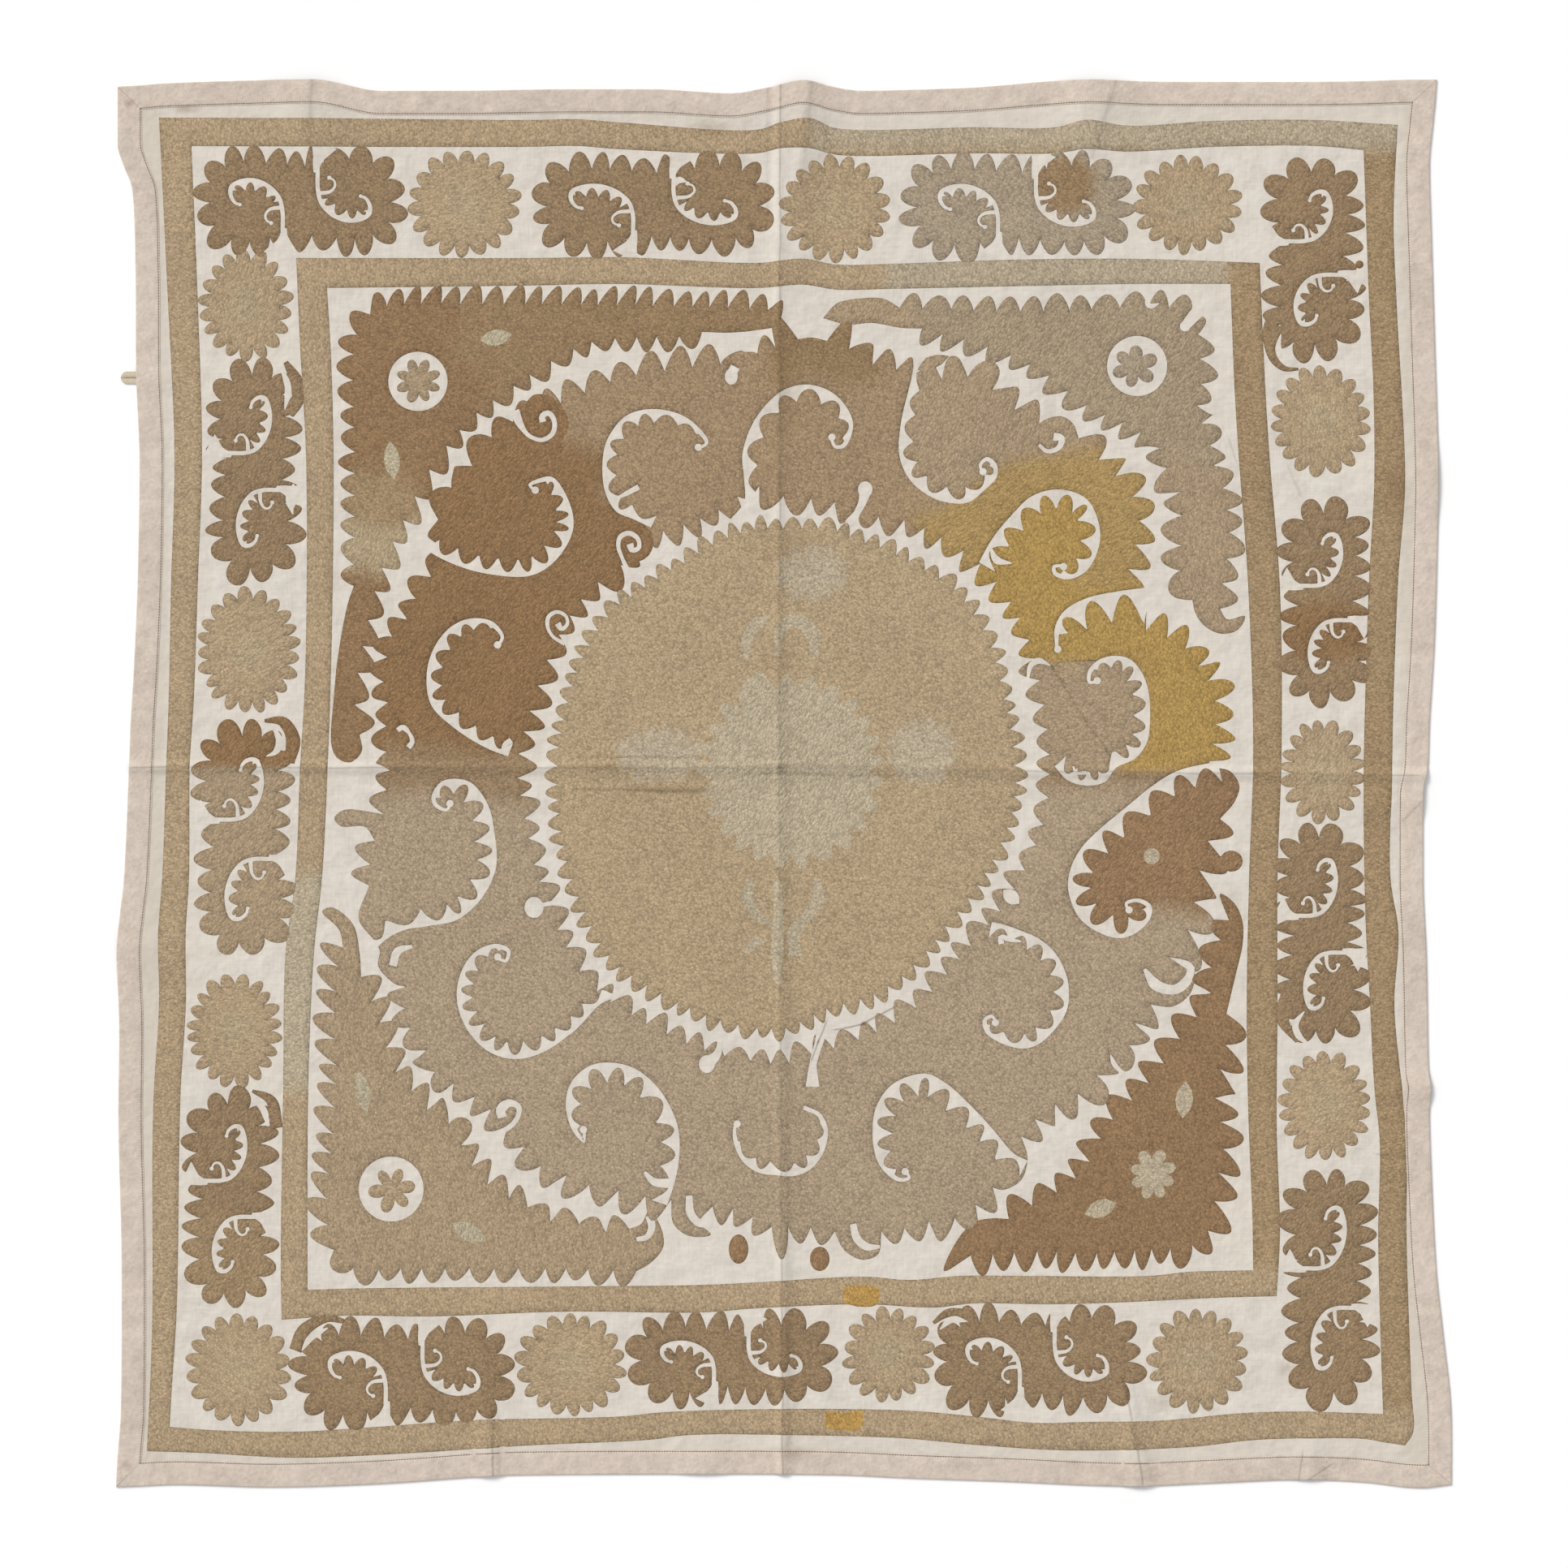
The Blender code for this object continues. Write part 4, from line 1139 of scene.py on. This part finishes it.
def lay_ring():
    """The ring of scrolls, from its outer teeth to the gap around the medallion."""
    layout = Layout("stitched_scroll_ring", 5)
    layout.thread(RING_TAN, outline(*RING_OUTER), 40)
    layout.thread(BROWN, lens(1147, 447, 24, 8, -20), 160)
    layout.thread(SCROLL_BROWN, ellipse(1517, 1061, 14, 13), 20)
    layout.thread(SCROLL_BROWN, ribbon([(1488, 1058), (1504, 1060)], [7, 5]), 20)
    layout.tint(RING_GREY, box_shape(380, 968, 1560, 1620), 40)
    layout.tint(RING_BROWN, patch(
        [(560, 500), (640, 495), (683, 535), (742, 560), (745, 612), (792, 650), (805, 700),
         (740, 745), (700, 800), (690, 880), (690, 945), (560, 962), (440, 955), (430, 800),
         (500, 640), (560, 500)]), 130)
    layout.tint(DARK_TAN, patch([(430, 928), (520, 920), (600, 930), (700, 922), (700, 972),
                                 (600, 985), (520, 972), (420, 990)]), 10)
    flower = RING_CRESCENTS[3][0][2:]
    layout.tint(ROSE_TAN, patch([*flower, (1180, 420), (1250, 450), (1310, 500), (1345, 552),
                                 (1290, 564), (1233, 576)]), 110)
    layout.tint(MUSTARD_TAN, patch(
        [(1120, 640), (1180, 615), (1233, 576), (1290, 564), (1345, 552), (1440, 560),
         (1440, 740), (1300, 800), (1160, 690)]), 150)
    flower = RING_CRESCENTS[4][0][3:]
    layout.tint(MUSTARD, patch([*flower, (1190, 740), (1230, 810), (1290, 815), (1300, 772),
                                (1339, 737), (1320, 716)]), 60)
    layout.tint(MUSTARD, patch([(1280, 800), (1310, 745), (1375, 725), (1500, 740), (1540, 945),
                                (1440, 950), (1380, 950)]), 70)
    flower = RING_CRESCENTS[6][0][3:]
    layout.tint(ROSE_TAN, patch([*flower, (1262, 950), (1250, 830), (1300, 815)]), 20)
    flower = RING_CRESCENTS[7][0][5:]
    layout.tint(SCROLL_BROWN, patch([*flower, (1550, 930)], [(1550, 930), (1550, 1136)],
                                    [(1550, 1136), (1418, 1116)]), 130)
    layout.tint(CAP_BROWN, patch([(950, 470), (945, 400), (960, 380), (1040, 390), (1085, 462),
                                  (1045, 476), (1000, 464), (970, 476), (950, 470)]), 30)
    layout.bare(teeth(gap_side(True)[::-1], 76, 20, power=0.95, seed=5, uneven=0.25)[:-1])
    for number, (points, width, count, mouth) in enumerate(RING_CRESCENTS):
        layout.bare(*crescent(points, width, count, mouth=mouth, hook=4.6, seed=number, start=0.1))
    layout.thread(RING_BROWN, patch([(640, 512), (645, 502), (657, 487), (673, 487),
                                     (692, 499), (700, 530), (672, 552), (648, 535)]), 40)
    layout.thread(RING_BROWN, ellipse(783, 668, 22, 24), 40)
    for line, widths in RING_HOOKS:
        layout.bare(ribbon(line, widths))
    for x, y, radius in RING_DROPS:
        layout.bare(ellipse(x, y, radius * 0.9, radius))
    for line, widths in RING_SLIPS:
        layout.bare(ribbon(line, widths))
    layout.bare(ellipse(901, 464, 8, 10), lens(1246, 1105, 13, 9, 40))
    layout.thread(PALE, ellipse(1419, 1055, 10), 20)
    layout.thread(SCROLL_BROWN, ellipse(910, 1539, 12, 18), 90)
    layout.thread(SCROLL_BROWN, ellipse(1010, 1551, 12, 15), 90)
    return layout


MEDALLION_MARKS = [  # pale marks around the flower: line, half widths along it
    ([(920, 812), (921, 788), (932, 768), (946, 762)], [3, 6, 8, 4]),
    ([(958, 808), (962, 775), (980, 764), (1000, 780), (1004, 812)], [3, 6, 9, 8, 4]),
    ([(925, 1082), (922, 1110), (936, 1130), (952, 1138)], [4, 8, 6, 4]),
    ([(1006, 1082), (1008, 1105), (994, 1130), (978, 1150), (980, 1178)], [4, 8, 6, 8, 8]),
    ([(936, 1156), (918, 1174)], [7, 3]),
    ([(958, 1085), (959, 1130), (957, 1180), (958, 1212)], [5, 6, 8, 4]),
    ([(918, 870), (925, 845), (940, 830)], [3, 9, 6]),
]
MEDALLION_STARS = [  # faint pale patches: middle x, y, radii, teeth
    (812, 930, 56, 34, 12), (1136, 926, 44, 42, 12), (1000, 705, 46, 36, 10),
]


def lay_medallion():
    """The round middle field, with its faint paler flower and marks."""
    layout = Layout("stitched_medallion")
    edge = teeth(gap_side(False), 92, 15, power=0.9, seed=4, uneven=0.2)[:-1]
    layout.thread(MEDALLION, edge, 35)
    layout.thread(PALE, rosette(975, 950, 115, 121, 25, 19, seed=8, power=1.1), 115)
    for line, widths in MEDALLION_MARKS:
        layout.thread(PALE, ribbon(line, widths), 35)
    for n, star in enumerate(MEDALLION_STARS):
        layout.tint(PALE_MEDALLION, rosette(*star, 12, seed=12 + n), 35)
    return layout


# Sewing

STITCH_INSET = 28.0
STITCH_PITCH = 3.3
STITCH_LONG = 2.6
STITCH_WIDE = 1.1
STITCH_HIGH = 0.25
STITCH_SUNK = 0.5


def make_stitch_line():
    """The dark machine stitches that hold the edging, as one piece of short rounded dashes."""
    top = UNDER_EDGING + EDGING_THICK - STITCH_SUNK
    verts, faces = [], []
    for side in ("top", "bottom", "left", "right"):
        upright, half, other, sign = side_sizes(side)
        run = np.arange(STITCH_INSET - half, half - STITCH_INSET, STITCH_PITCH)
        run = np.repeat(run, 4).reshape(-1, 4) + np.array([0, 1, 1, 0]) * STITCH_LONG
        across = sign * (other - STITCH_INSET + np.array([-0.5, -0.5, 0.5, 0.5]) * STITCH_WIDE)
        across = np.broadcast_to(across, run.shape)
        for height, inward in ((-0.15, 0.0), (STITCH_HIGH, 0.22)):
            middle_run = run.mean(1, keepdims=True)
            middle_across = across.mean(1, keepdims=True)
            r = run + (middle_run - run) * inward
            a = across + (middle_across - across) * inward
            u, v = (a, r) if upright else (r, a)
            verts.append(np.stack(lifted(u, v, top + height), -1))
        count = len(run)
        start = sum(len(block) * 4 for block in verts[:-2])
        for k in range(count):
            low, high = start + 4 * k, start + 4 * (count + k)
            faces.append((low + 3, low + 2, low + 1, low))
            faces.append((high, high + 1, high + 2, high + 3))
            for c in range(4):
                d = (c + 1) % 4
                faces.append((low + c, low + d, high + d, high + c))
    verts = np.concatenate([block.reshape(-1, 3) for block in verts])
    return make_mesh("edging_stitch_line", verts, faces, 60)


# Materials

LINE_WANDER = 1.6
LINE_END = 12
MARGIN_X = 752.0  # where the ground's darker margin starts, from the middle
MARGIN_Y = 796.0
GROUND_WEAVE = 1.1
EDGING_WEAVE = 0.9
TAPE_RIB = 1.3
STITCH_CELL = 2.5


class Net:
    """A material's shader and nodes, with short calls for the nodes used here."""

    def __init__(self, name, roughness, sheen):
        self.material = bpy.data.materials.new(name)
        self.material.use_nodes = True
        self.tree = self.material.node_tree
        self.tree.nodes.clear()
        output = self.tree.nodes.new("ShaderNodeOutputMaterial")
        self.shader = self.tree.nodes.new("ShaderNodeBsdfPrincipled")
        self.tree.links.new(self.shader.outputs[0], output.inputs[0])
        self.shader.inputs["Roughness"].default_value = roughness
        self.shader.inputs["Specular IOR Level"].default_value = 0.1
        self.shader.inputs["Sheen Weight"].default_value = sheen
        self.shader.inputs["Sheen Roughness"].default_value = 0.6
        self.place = self.tree.nodes.new("ShaderNodeTexCoord").outputs["Object"]
        wander = self.noise(self.place, 60.0, 1.0)
        self.line_wander = self.math("MULTIPLY", wander, LINE_WANDER * MM)
        self.spot_wander = self.noise(self.place, 12.0)

    def node(self, kind, settings, inputs):
        """A new node with its settings, and with values or links for its inputs."""
        made = self.tree.nodes.new(kind)
        for key, value in settings.items():
            setattr(made, key, value)
        for key, value in inputs.items():
            if isinstance(value, bpy.types.NodeSocket):
                self.tree.links.new(value, made.inputs[key])
            else:
                made.inputs[key].default_value = value
        return made

    def math(self, operation, *values):
        """A Math node's result."""
        inputs = dict(enumerate(values))
        return self.node("ShaderNodeMath", {"operation": operation}, inputs).outputs[0]

    def stretched(self, vector, scale):
        """The vector times a scale along each axis."""
        inputs = {0: vector, 1: scale}
        return self.node("ShaderNodeVectorMath", {"operation": "MULTIPLY"}, inputs).outputs[0]

    def noise(self, vector, size, detail=2.0, rough=0.55):
        """Soft noise around 0, between about -1 and 1, its blots about this size in mm."""
        inputs = {"Vector": vector, "Scale": 1000.0 / size, "Detail": detail, "Roughness": rough}
        level = self.node("ShaderNodeTexNoise", {}, inputs).outputs[0]
        return self.math("MULTIPLY", self.math("SUBTRACT", level, 0.5), 3.0)

    def apart(self, vector):
        """The x, y and z of a vector."""
        return self.node("ShaderNodeSeparateXYZ", {}, {0: vector}).outputs

    def shade(self, colour, *steps, start=1.0):
        """A colour times a start value plus each step's level times its strength."""
        total = start
        for level, strength in steps:
            total = self.math("MULTIPLY_ADD", level, strength, total)
        gray = self.node("ShaderNodeCombineXYZ", {}, {0: total, 1: total, 2: total}).outputs[0]
        colour = colour if isinstance(colour, bpy.types.NodeSocket) else colour[:3]
        inputs = {0: colour, 1: gray}
        return self.node("ShaderNodeVectorMath", {"operation": "MULTIPLY"}, inputs).outputs[0]

    def mix(self, factor, one, two):
        """Colour one, and two where the factor is 1."""
        settings = {"data_type": "RGBA", "clamp_factor": True}
        return self.node("ShaderNodeMix", settings, {0: factor, 6: one, 7: two}).outputs[2]

    def tinge(self, colour, level, strength, other):
        """A colour moved towards another, given in sRGB levels, where the level is above 0."""
        amount = self.math("MULTIPLY", self.math("MAXIMUM", level, 0.0), strength)
        return self.mix(amount, colour, linear(other))

    def bump(self, height, millimetres):
        """Relief of a height of 0 to 1, standing this many millimetres."""
        inputs = {"Strength": 1.0, "Distance": millimetres * MM, "Height": height}
        made = self.node("ShaderNodeBump", {}, inputs).outputs[0]
        self.tree.links.new(made, self.shader.inputs["Normal"])

    def paint(self, colour):
        """Sets the shader's colour, through nodes."""
        self.tree.links.new(colour, self.shader.inputs["Base Color"])

    def rough(self, level, middle, change):
        """Sets the shader's roughness, which changes with a level."""
        made = self.math("MULTIPLY_ADD", level, change, middle)
        self.tree.links.new(made, self.shader.inputs["Roughness"])

    def near_line(self, x0, y0, x1, y1, half_width):
        """1 on a line given in mm and 0 from its half width on, with soft sides and ends."""
        length = math.hypot(x1 - x0, y1 - y0)
        ux, uy = (x1 - x0) / length, (y1 - y0) / length
        x, y, _ = self.apart(self.place)
        across = self.math("MULTIPLY_ADD", x, -uy, (x0 * uy - y0 * ux) * MM)
        across = self.math("ADD", self.math("MULTIPLY_ADD", y, ux, across), self.line_wander)
        run = self.math("MULTIPLY_ADD", x, ux, -(x0 * ux + y0 * uy) * MM)
        run = self.math("MULTIPLY_ADD", y, uy, run)
        beside = self.math("DIVIDE", self.math("ABSOLUTE", across), half_width * MM)
        run = self.math("SUBTRACT", run, length * MM / 2)
        past = self.math("SUBTRACT", self.math("ABSOLUTE", run), length * MM / 2)
        past = self.math("DIVIDE", self.math("MAXIMUM", past, 0.0), LINE_END * MM)
        far = self.math("ADD", beside, past)
        level = self.math("SUBTRACT", 1.0, self.math("MINIMUM", far, 1.0))
        return self.math("MULTIPLY", level, level)

    def spot(self, x, y, radius_x, radius_y):
        """1 in the middle of a stain given in mm, and 0 outside it, with a ragged side."""
        place_x, place_y, _ = self.apart(self.place)
        off_x = self.math("DIVIDE", self.math("SUBTRACT", place_x, x * MM), radius_x * MM)
        off_y = self.math("DIVIDE", self.math("SUBTRACT", place_y, y * MM), radius_y * MM)
        off = self.math("SQRT", self.math("MULTIPLY_ADD", off_x, off_x,
                                          self.math("MULTIPLY", off_y, off_y)))
        off = self.math("MULTIPLY_ADD", self.spot_wander, 0.35, off)
        return self.math("SUBTRACT", 1.0, self.math("MINIMUM", self.math("MAXIMUM", off, 0.0), 1.0))


# Painted shade along the folds and creases, with a little soil in the lines; rows below 0 are painted
# light on the folds' lit sides.
CREASES = [  # start x, y, end x, y, half width, how much darker, or lighter below 0
    (-4, 868, -5, 20, 2.6, 0.34), (6, 868, 5, 20, 14, 0.07), (-22, 868, -20, 20, 16, -0.03),
    (-5, 20, -1, -868, 2.8, 0.36), (8, 20, 12, -868, 15, 0.09), (-22, 20, -18, -868, 15, -0.04),
    (-800, 20, -5, 19, 2.8, 0.34), (-800, 10, -5, 9, 11, 0.05),
    (-5, 19, 780, 10, 2.8, 0.30), (-5, 10, 780, 1, 11, 0.05),
    (-256, -7, -100, -8, 2.2, 0.6), (-250, 33, -102, 32, 2.2, 0.4),
    (-285, 21, -206, 20, 2.6, 0.3),
    (-44, 22, 154, 22, 2.8, 0.3),
    (25, 11, 131, 10, 2.6, 0.26),
    (-360, -775, -358, -852, 3.0, 0.4), (-352, -775, -350, -862, 9, 0.1),
    (420, -735, 443, -862, 3.2, 0.36), (430, -735, 453, -862, 10, 0.1),
    (640, -826, 634, -858, 3, 0.3), (646, -858, 674, -840, 3, 0.3),
    (740, -630, 760, -641, 3, 0.3), (732, -457, 766, -461, 3, 0.3), (765, -43, 783, -25, 3, 0.3),
    (-580, 868, -584, 790, 9, 0.24), (-606, 868, -604, 800, 14, -0.06),
    (36, 868, 20, 700, 12, 0.2), (410, 868, 380, 770, 9, 0.22), (350, 868, 360, 790, 14, -0.06),
    (-20, 868, -20, 700, 10, 0.14), (622, 391, 637, 357, 4, 0.16), (549, 424, 558, 396, 3, 0.18),
    (52, -295, 42, -318, 2.4, 0.5), (42, -318, 35, -340, 2.4, 0.5),
    (64, -303, 98, -296, 2.2, 0.6), (98, -296, 136, -277, 2.2, 0.6),
    (-165, -9, -100, -11, 2.0, 0.5), (-21, 12, 38, 12, 1.8, 0.25), (-21, 24, 38, 24, 1.8, 0.25),
    (-21, 11, -21, 25, 1.8, 0.25), (-240, 6, -150, 6, 5, 0.1),
]
STAINS = [  # middle x, y, half width and length, how strong
    (-90, 808, 34, 14, 0.45), (755, 370, 14, 40, 0.30), (-545, 105, 26, 22, 0.30),
    (10, -824, 40, 14, 0.30), (464, -762, 26, 14, 0.30), (618, -720, 22, 14, 0.30),
    (2, 480, 26, 70, 0.26), (6, 290, 60, 40, 0.22), (-120, -8, 90, 9, 0.3), (-205, 20, 60, 8, 0.3),
    (240, 20, 60, 9, 0.2), (-4, 150, 30, 60, 0.16), (752, 360, 20, 60, 0.2),
    (-735, 830, 20, 8, 0.45), (-810, -840, 10, 8, 0.45), (-806, 838, 8, 8, 0.55),
]


def crease_shade_and_stains(net, colour, brown, spread=1.0):
    """A colour with painted shade along the cloth's creases and painted light beside some, with a
    little soil in the crease lines, as wide as the spread says, and stains over it.
    """
    marks = []
    for *line, half_width, darker in CREASES:
        marks.append((net.near_line(*line, half_width * spread), -darker / spread))
    colour = net.shade(colour, *marks)
    for x, y, wide, long, strength in STAINS:
        level = net.math("MULTIPLY", net.spot(x, y, wide, long), strength)
        colour = net.mix(level, colour, linear(brown))
    return colour


def weave(net, pitch):
    """Height of a plain weave with this pitch in mm, from 0 to 1, a little uneven."""
    drift = net.node("ShaderNodeTexNoise", {}, {"Vector": net.place, "Scale": 60.0, "Detail": 1.0})
    moved = net.stretched(drift.outputs[1], (0.9 * MM, 0.9 * MM, 0.0))
    moved = net.node("ShaderNodeVectorMath", {"operation": "ADD"}, {0: net.place, 1: moved})
    x, y, _ = net.apart(moved.outputs[0])
    turns = 2 * math.pi / (pitch * MM)
    over = net.math("MULTIPLY", net.math("SINE", net.math("MULTIPLY", x, turns)),
                    net.math("SINE", net.math("MULTIPLY", y, turns)))
    return net.math("MULTIPLY_ADD", over, 0.5, 0.5)


def cotton_relief(net, puckered, deep, pucker, fine, threads):
    """Relief of woven cotton: how puckered it is, how many mm deep, and its three levels."""
    height = net.math("MULTIPLY_ADD", pucker, puckered, net.math("MULTIPLY", threads, 0.16))
    net.bump(net.math("MULTIPLY_ADD", fine, 0.12, height), deep)


def ground_material():
    """Undyed plain-woven cotton, washed and puckered by the stitching."""
    net = Net("undyed_cotton", 0.92, 0.08)
    threads = weave(net, GROUND_WEAVE)
    slub_x = net.noise(net.stretched(net.place, (0.06, 1.0, 1.0)), 1.6, 1.0)
    slub_y = net.noise(net.stretched(net.place, (1.0, 0.06, 1.0)), 1.6, 1.0)
    blotch = net.noise(net.place, 150.0, 3.0)
    pucker = net.noise(net.place, 26.0, 2.0)
    fine = net.noise(net.place, 5.0, 3.0)
    # The pucker step, and the grey-blue tinge on the puckers below, are painted light and shade of
    # the puckers, from the same noise as their relief.
    colour = net.shade(linear(GROUND), (blotch, 0.04), (pucker, 0.1), (fine, 0.05),
                       (slub_x, 0.05), (slub_y, 0.05), (threads, 0.06), start=0.935)
    colour = net.tinge(colour, pucker, 0.35, PUCKER_SHADE_GREY)
    colour = net.tinge(colour, blotch, 0.3, WARM_GROUND)
    x, y, _ = net.apart(net.place)
    near_x = net.math("SUBTRACT", net.math("ABSOLUTE", x), MARGIN_X * MM)
    near_y = net.math("SUBTRACT", net.math("ABSOLUTE", y), MARGIN_Y * MM)
    near_x = net.math("MINIMUM", net.math("MULTIPLY", near_x, 40.0), 0.6)
    near_y = net.math("MINIMUM", net.math("MULTIPLY", near_y, 40.0), 0.3)
    margin = net.math("MAXIMUM", net.math("MAXIMUM", near_x, near_y), 0.0)
    colour = net.mix(margin, colour, linear(MARGIN_GROUND))
    # Painted shade and light along the creases, and the ground's stains.
    net.paint(crease_shade_and_stains(net, colour, GROUND_STAIN))
    net.rough(fine, 0.92, 0.04)
    cotton_relief(net, 0.9, 1.3, pucker, fine, threads)
    return net.material


def edging_material():
    """A slightly warmer cotton strip, blotched and puckered, with spots of dirt."""
    net = Net("edging_cotton", 0.9, 0.08)
    threads = weave(net, EDGING_WEAVE)
    blotch = net.noise(net.place, 90.0, 3.0)
    pucker = net.noise(net.place, 16.0, 2.0)
    fine = net.noise(net.place, 4.0, 3.0)
    # The pucker step is painted light and shade of the edging's puckers, from the same noise as their
    # relief.
    colour = net.shade(linear(EDGING), (blotch, 0.1), (pucker, 0.13), (fine, 0.08),
                       (threads, 0.05), start=0.96)
    colour = net.tinge(colour, blotch, 0.3, PALE_EDGING)
    dirt = net.math("SUBTRACT", net.noise(net.place, 34.0, 4.0, 0.7), 0.45)
    colour = net.tinge(colour, dirt, 0.6, EDGING_DIRT)
    # Painted shade and light along the creases, and the edging's stains.
    net.paint(crease_shade_and_stains(net, colour, EDGING_STAIN))
    net.rough(fine, 0.9, 0.04)
    cotton_relief(net, 0.5, 1.7, pucker, fine, threads)
    return net.material


def tape_material():
    """Ribbed cotton tape, with a dark middle line of painted shade in the slit between its two legs.
    """
    net = Net("ribbed_tape", 0.9, 0.1)
    _, y, _ = net.apart(net.place)
    ribs = net.math("SINE", net.math("MULTIPLY", y, 2 * math.pi / (TAPE_RIB * MM)))
    fine = net.noise(net.place, 3.0, 3.0)
    # Painted shade of the slit between the doubled tape's two legs.
    middle = net.near_line(-850, LOOP_Y, -790, LOOP_Y, 2.4)
    colour = net.shade(linear(TAPE), (ribs, 0.06), (fine, 0.08), (middle, -0.45))
    net.paint(colour)
    net.rough(fine, 0.88, 0.05)
    net.bump(net.math("MULTIPLY_ADD", ribs, 0.5, fine), 0.25)
    return net.material


def thread_material():
    """Couched embroidery: laid threads tied down by short slanting stitches."""
    net = Net("couched_thread", 0.8, 0.06)
    colour = net.node("ShaderNodeAttribute", {"attribute_name": "thread_colour"}, {}).outputs[0]
    rim = net.node("ShaderNodeAttribute", {"attribute_name": "rim"}, {}).outputs[2]
    grain = net.node("ShaderNodeAttribute", {"attribute_name": "grain"}, {}).outputs[2]
    turned_place = net.node("ShaderNodeVectorRotate", {"rotation_type": "Z_AXIS"},
                            {"Vector": net.place, "Angle": grain}).outputs[0]
    laid = net.stretched(turned_place, (0.7, 1.0, 0.0))
    cells = net.node("ShaderNodeTexVoronoi", {"feature": "F1"},
                     {"Vector": laid, "Scale": 1000.0 / STITCH_CELL, "Randomness": 0.9})
    # The gap step darkens each stitch towards its edges, where the bump sinks the grooves: painted
    # shade in the grooves between the stitches.
    gap = net.math("MINIMUM", net.math("MULTIPLY", cells.outputs[0], 1.25), 1.0)
    chance = net.apart(cells.outputs[1])
    rows = net.noise(net.stretched(turned_place, (0.3, 1.0, 0.0)), 3.4, 1.0)
    blotch = net.noise(net.place, 110.0, 3.0)
    patch = net.noise(net.place, 22.0, 2.0)
    grit = net.noise(net.place, 2.3, 1.0, 0.6)
    # The rim step is painted shade along the stitching's edge, where it drops to the ground.
    steps = [(blotch, 0.07), (patch, 0.04), (rows, 0.02), (grit, 0.2), (gap, -0.34), (rim, -0.3)]
    steps.append((net.math("SUBTRACT", chance[0], 0.5), 0.3))
    base = net.shade(colour, *steps, start=1.135)
    lighter = net.shade(base, (net.math("GREATER_THAN", chance[1], 0.86), 0.07))
    # Painted shade and light along the creases, wider and fainter on the thread, and its stains.
    net.paint(crease_shade_and_stains(net, lighter, THREAD_STAIN, 1.9))
    net.rough(net.math("SUBTRACT", chance[2], 0.5), 0.78, 0.16)
    height = net.math("MULTIPLY_ADD", rows, 0.25, net.math("SUBTRACT", 1.0, gap))
    net.bump(height, 0.7)
    return net.material


def sewing_material():
    """Dark sewing thread, partly darkened as painted shade of the seam it lies in."""
    net = Net("sewing_thread", 0.8, 0.1)
    fine = net.noise(net.place, 3.0, 2.0)
    net.paint(net.shade(linear(SEWING_AND_SEAM_SHADE), (fine, 0.2)))
    net.rough(fine, 0.8, 0.05)
    net.bump(fine, 0.1)
    return net.material


def floor_material():
    """A plain pale studio floor."""
    net = Net("studio_floor", 0.9, 0.0)
    fine = net.noise(net.place, 400.0, 1.0)
    net.paint(net.shade((0.955, 0.955, 0.965, 1.0), (fine, 0.004)))
    return net.material


# The pieces and what they stand for

cloth = make_cloth()
cloth.data.materials.append(ground_material())
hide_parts("cloth")

edging_cotton = edging_material()
edgings = {side: make_edging(side) for side in ("top", "bottom", "left", "right")}
for side, piece in edgings.items():
    piece.data.materials.append(edging_cotton)
    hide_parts(f"edging_{side}")

loop = make_loop()
loop.data.materials.append(tape_material())
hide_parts("hanging_loop")

couched = thread_material()
embroidery = []
for lay in (lay_stripes, lay_border, lay_corners, lay_ring, lay_medallion):
    embroidery.append(make_embroidery(lay()))
    embroidery[-1].data.materials.append(couched)

sewing = make_stitch_line()
sewing.data.materials.append(sewing_material())

on_cloth = [loop, sewing, *embroidery]
for piece in (cloth, *edgings.values(), *on_cloth):
    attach(piece, "root")


# Floor, light and camera, with lengths in metres and angles in degrees

FLOOR_HALF = 6.0
FLOOR_DROP = 0.0004
SKY_STRENGTH = 0.6
SUN_STRENGTH = 2.35
SUN_SPREAD = 24.0
SUN_TILT = 52.0
SUN_TURN = 135.0
CAMERA_HEIGHT = 10.733
CAMERA_LENS = 200.0
CAMERA_SENSOR = 36.0

floor_mesh = bpy.data.meshes.new("floor")
floor_corners = [(-FLOOR_HALF, -FLOOR_HALF, 0), (FLOOR_HALF, -FLOOR_HALF, 0),
                 (FLOOR_HALF, FLOOR_HALF, 0), (-FLOOR_HALF, FLOOR_HALF, 0)]
floor_mesh.from_pydata(floor_corners, [], [(0, 1, 2, 3)])
floor = bpy.data.objects.new("floor", floor_mesh)
floor.location.z = -FLOOR_DROP
bpy.context.scene.collection.objects.link(floor)
floor_mesh.materials.append(floor_material())

world = bpy.data.worlds.new("studio")
world.use_nodes = True
world.node_tree.nodes["Background"].inputs["Color"].default_value = (1.0, 1.0, 1.0, 1.0)
world.node_tree.nodes["Background"].inputs["Strength"].default_value = SKY_STRENGTH
bpy.context.scene.world = world

sun_data = bpy.data.lights.new("soft_sun", "SUN")
sun_data.energy = SUN_STRENGTH
sun_data.angle = math.radians(SUN_SPREAD)
sun_data.color = (1.0, 0.985, 0.96)
sun = bpy.data.objects.new("soft_sun", sun_data)
sun.rotation_euler = (math.radians(SUN_TILT), 0.0, math.radians(SUN_TURN + 90.0))
bpy.context.scene.collection.objects.link(sun)

camera_data = bpy.data.cameras.new("camera")
camera_data.lens = CAMERA_LENS
camera_data.sensor_width = CAMERA_SENSOR
camera_data.clip_end = 100.0
camera = bpy.data.objects.new("camera", camera_data)
camera.location = (0.0005, -0.0005, CAMERA_HEIGHT)
bpy.context.scene.collection.objects.link(camera)
bpy.context.scene.camera = camera
bpy.context.scene.view_settings.view_transform = "Standard"
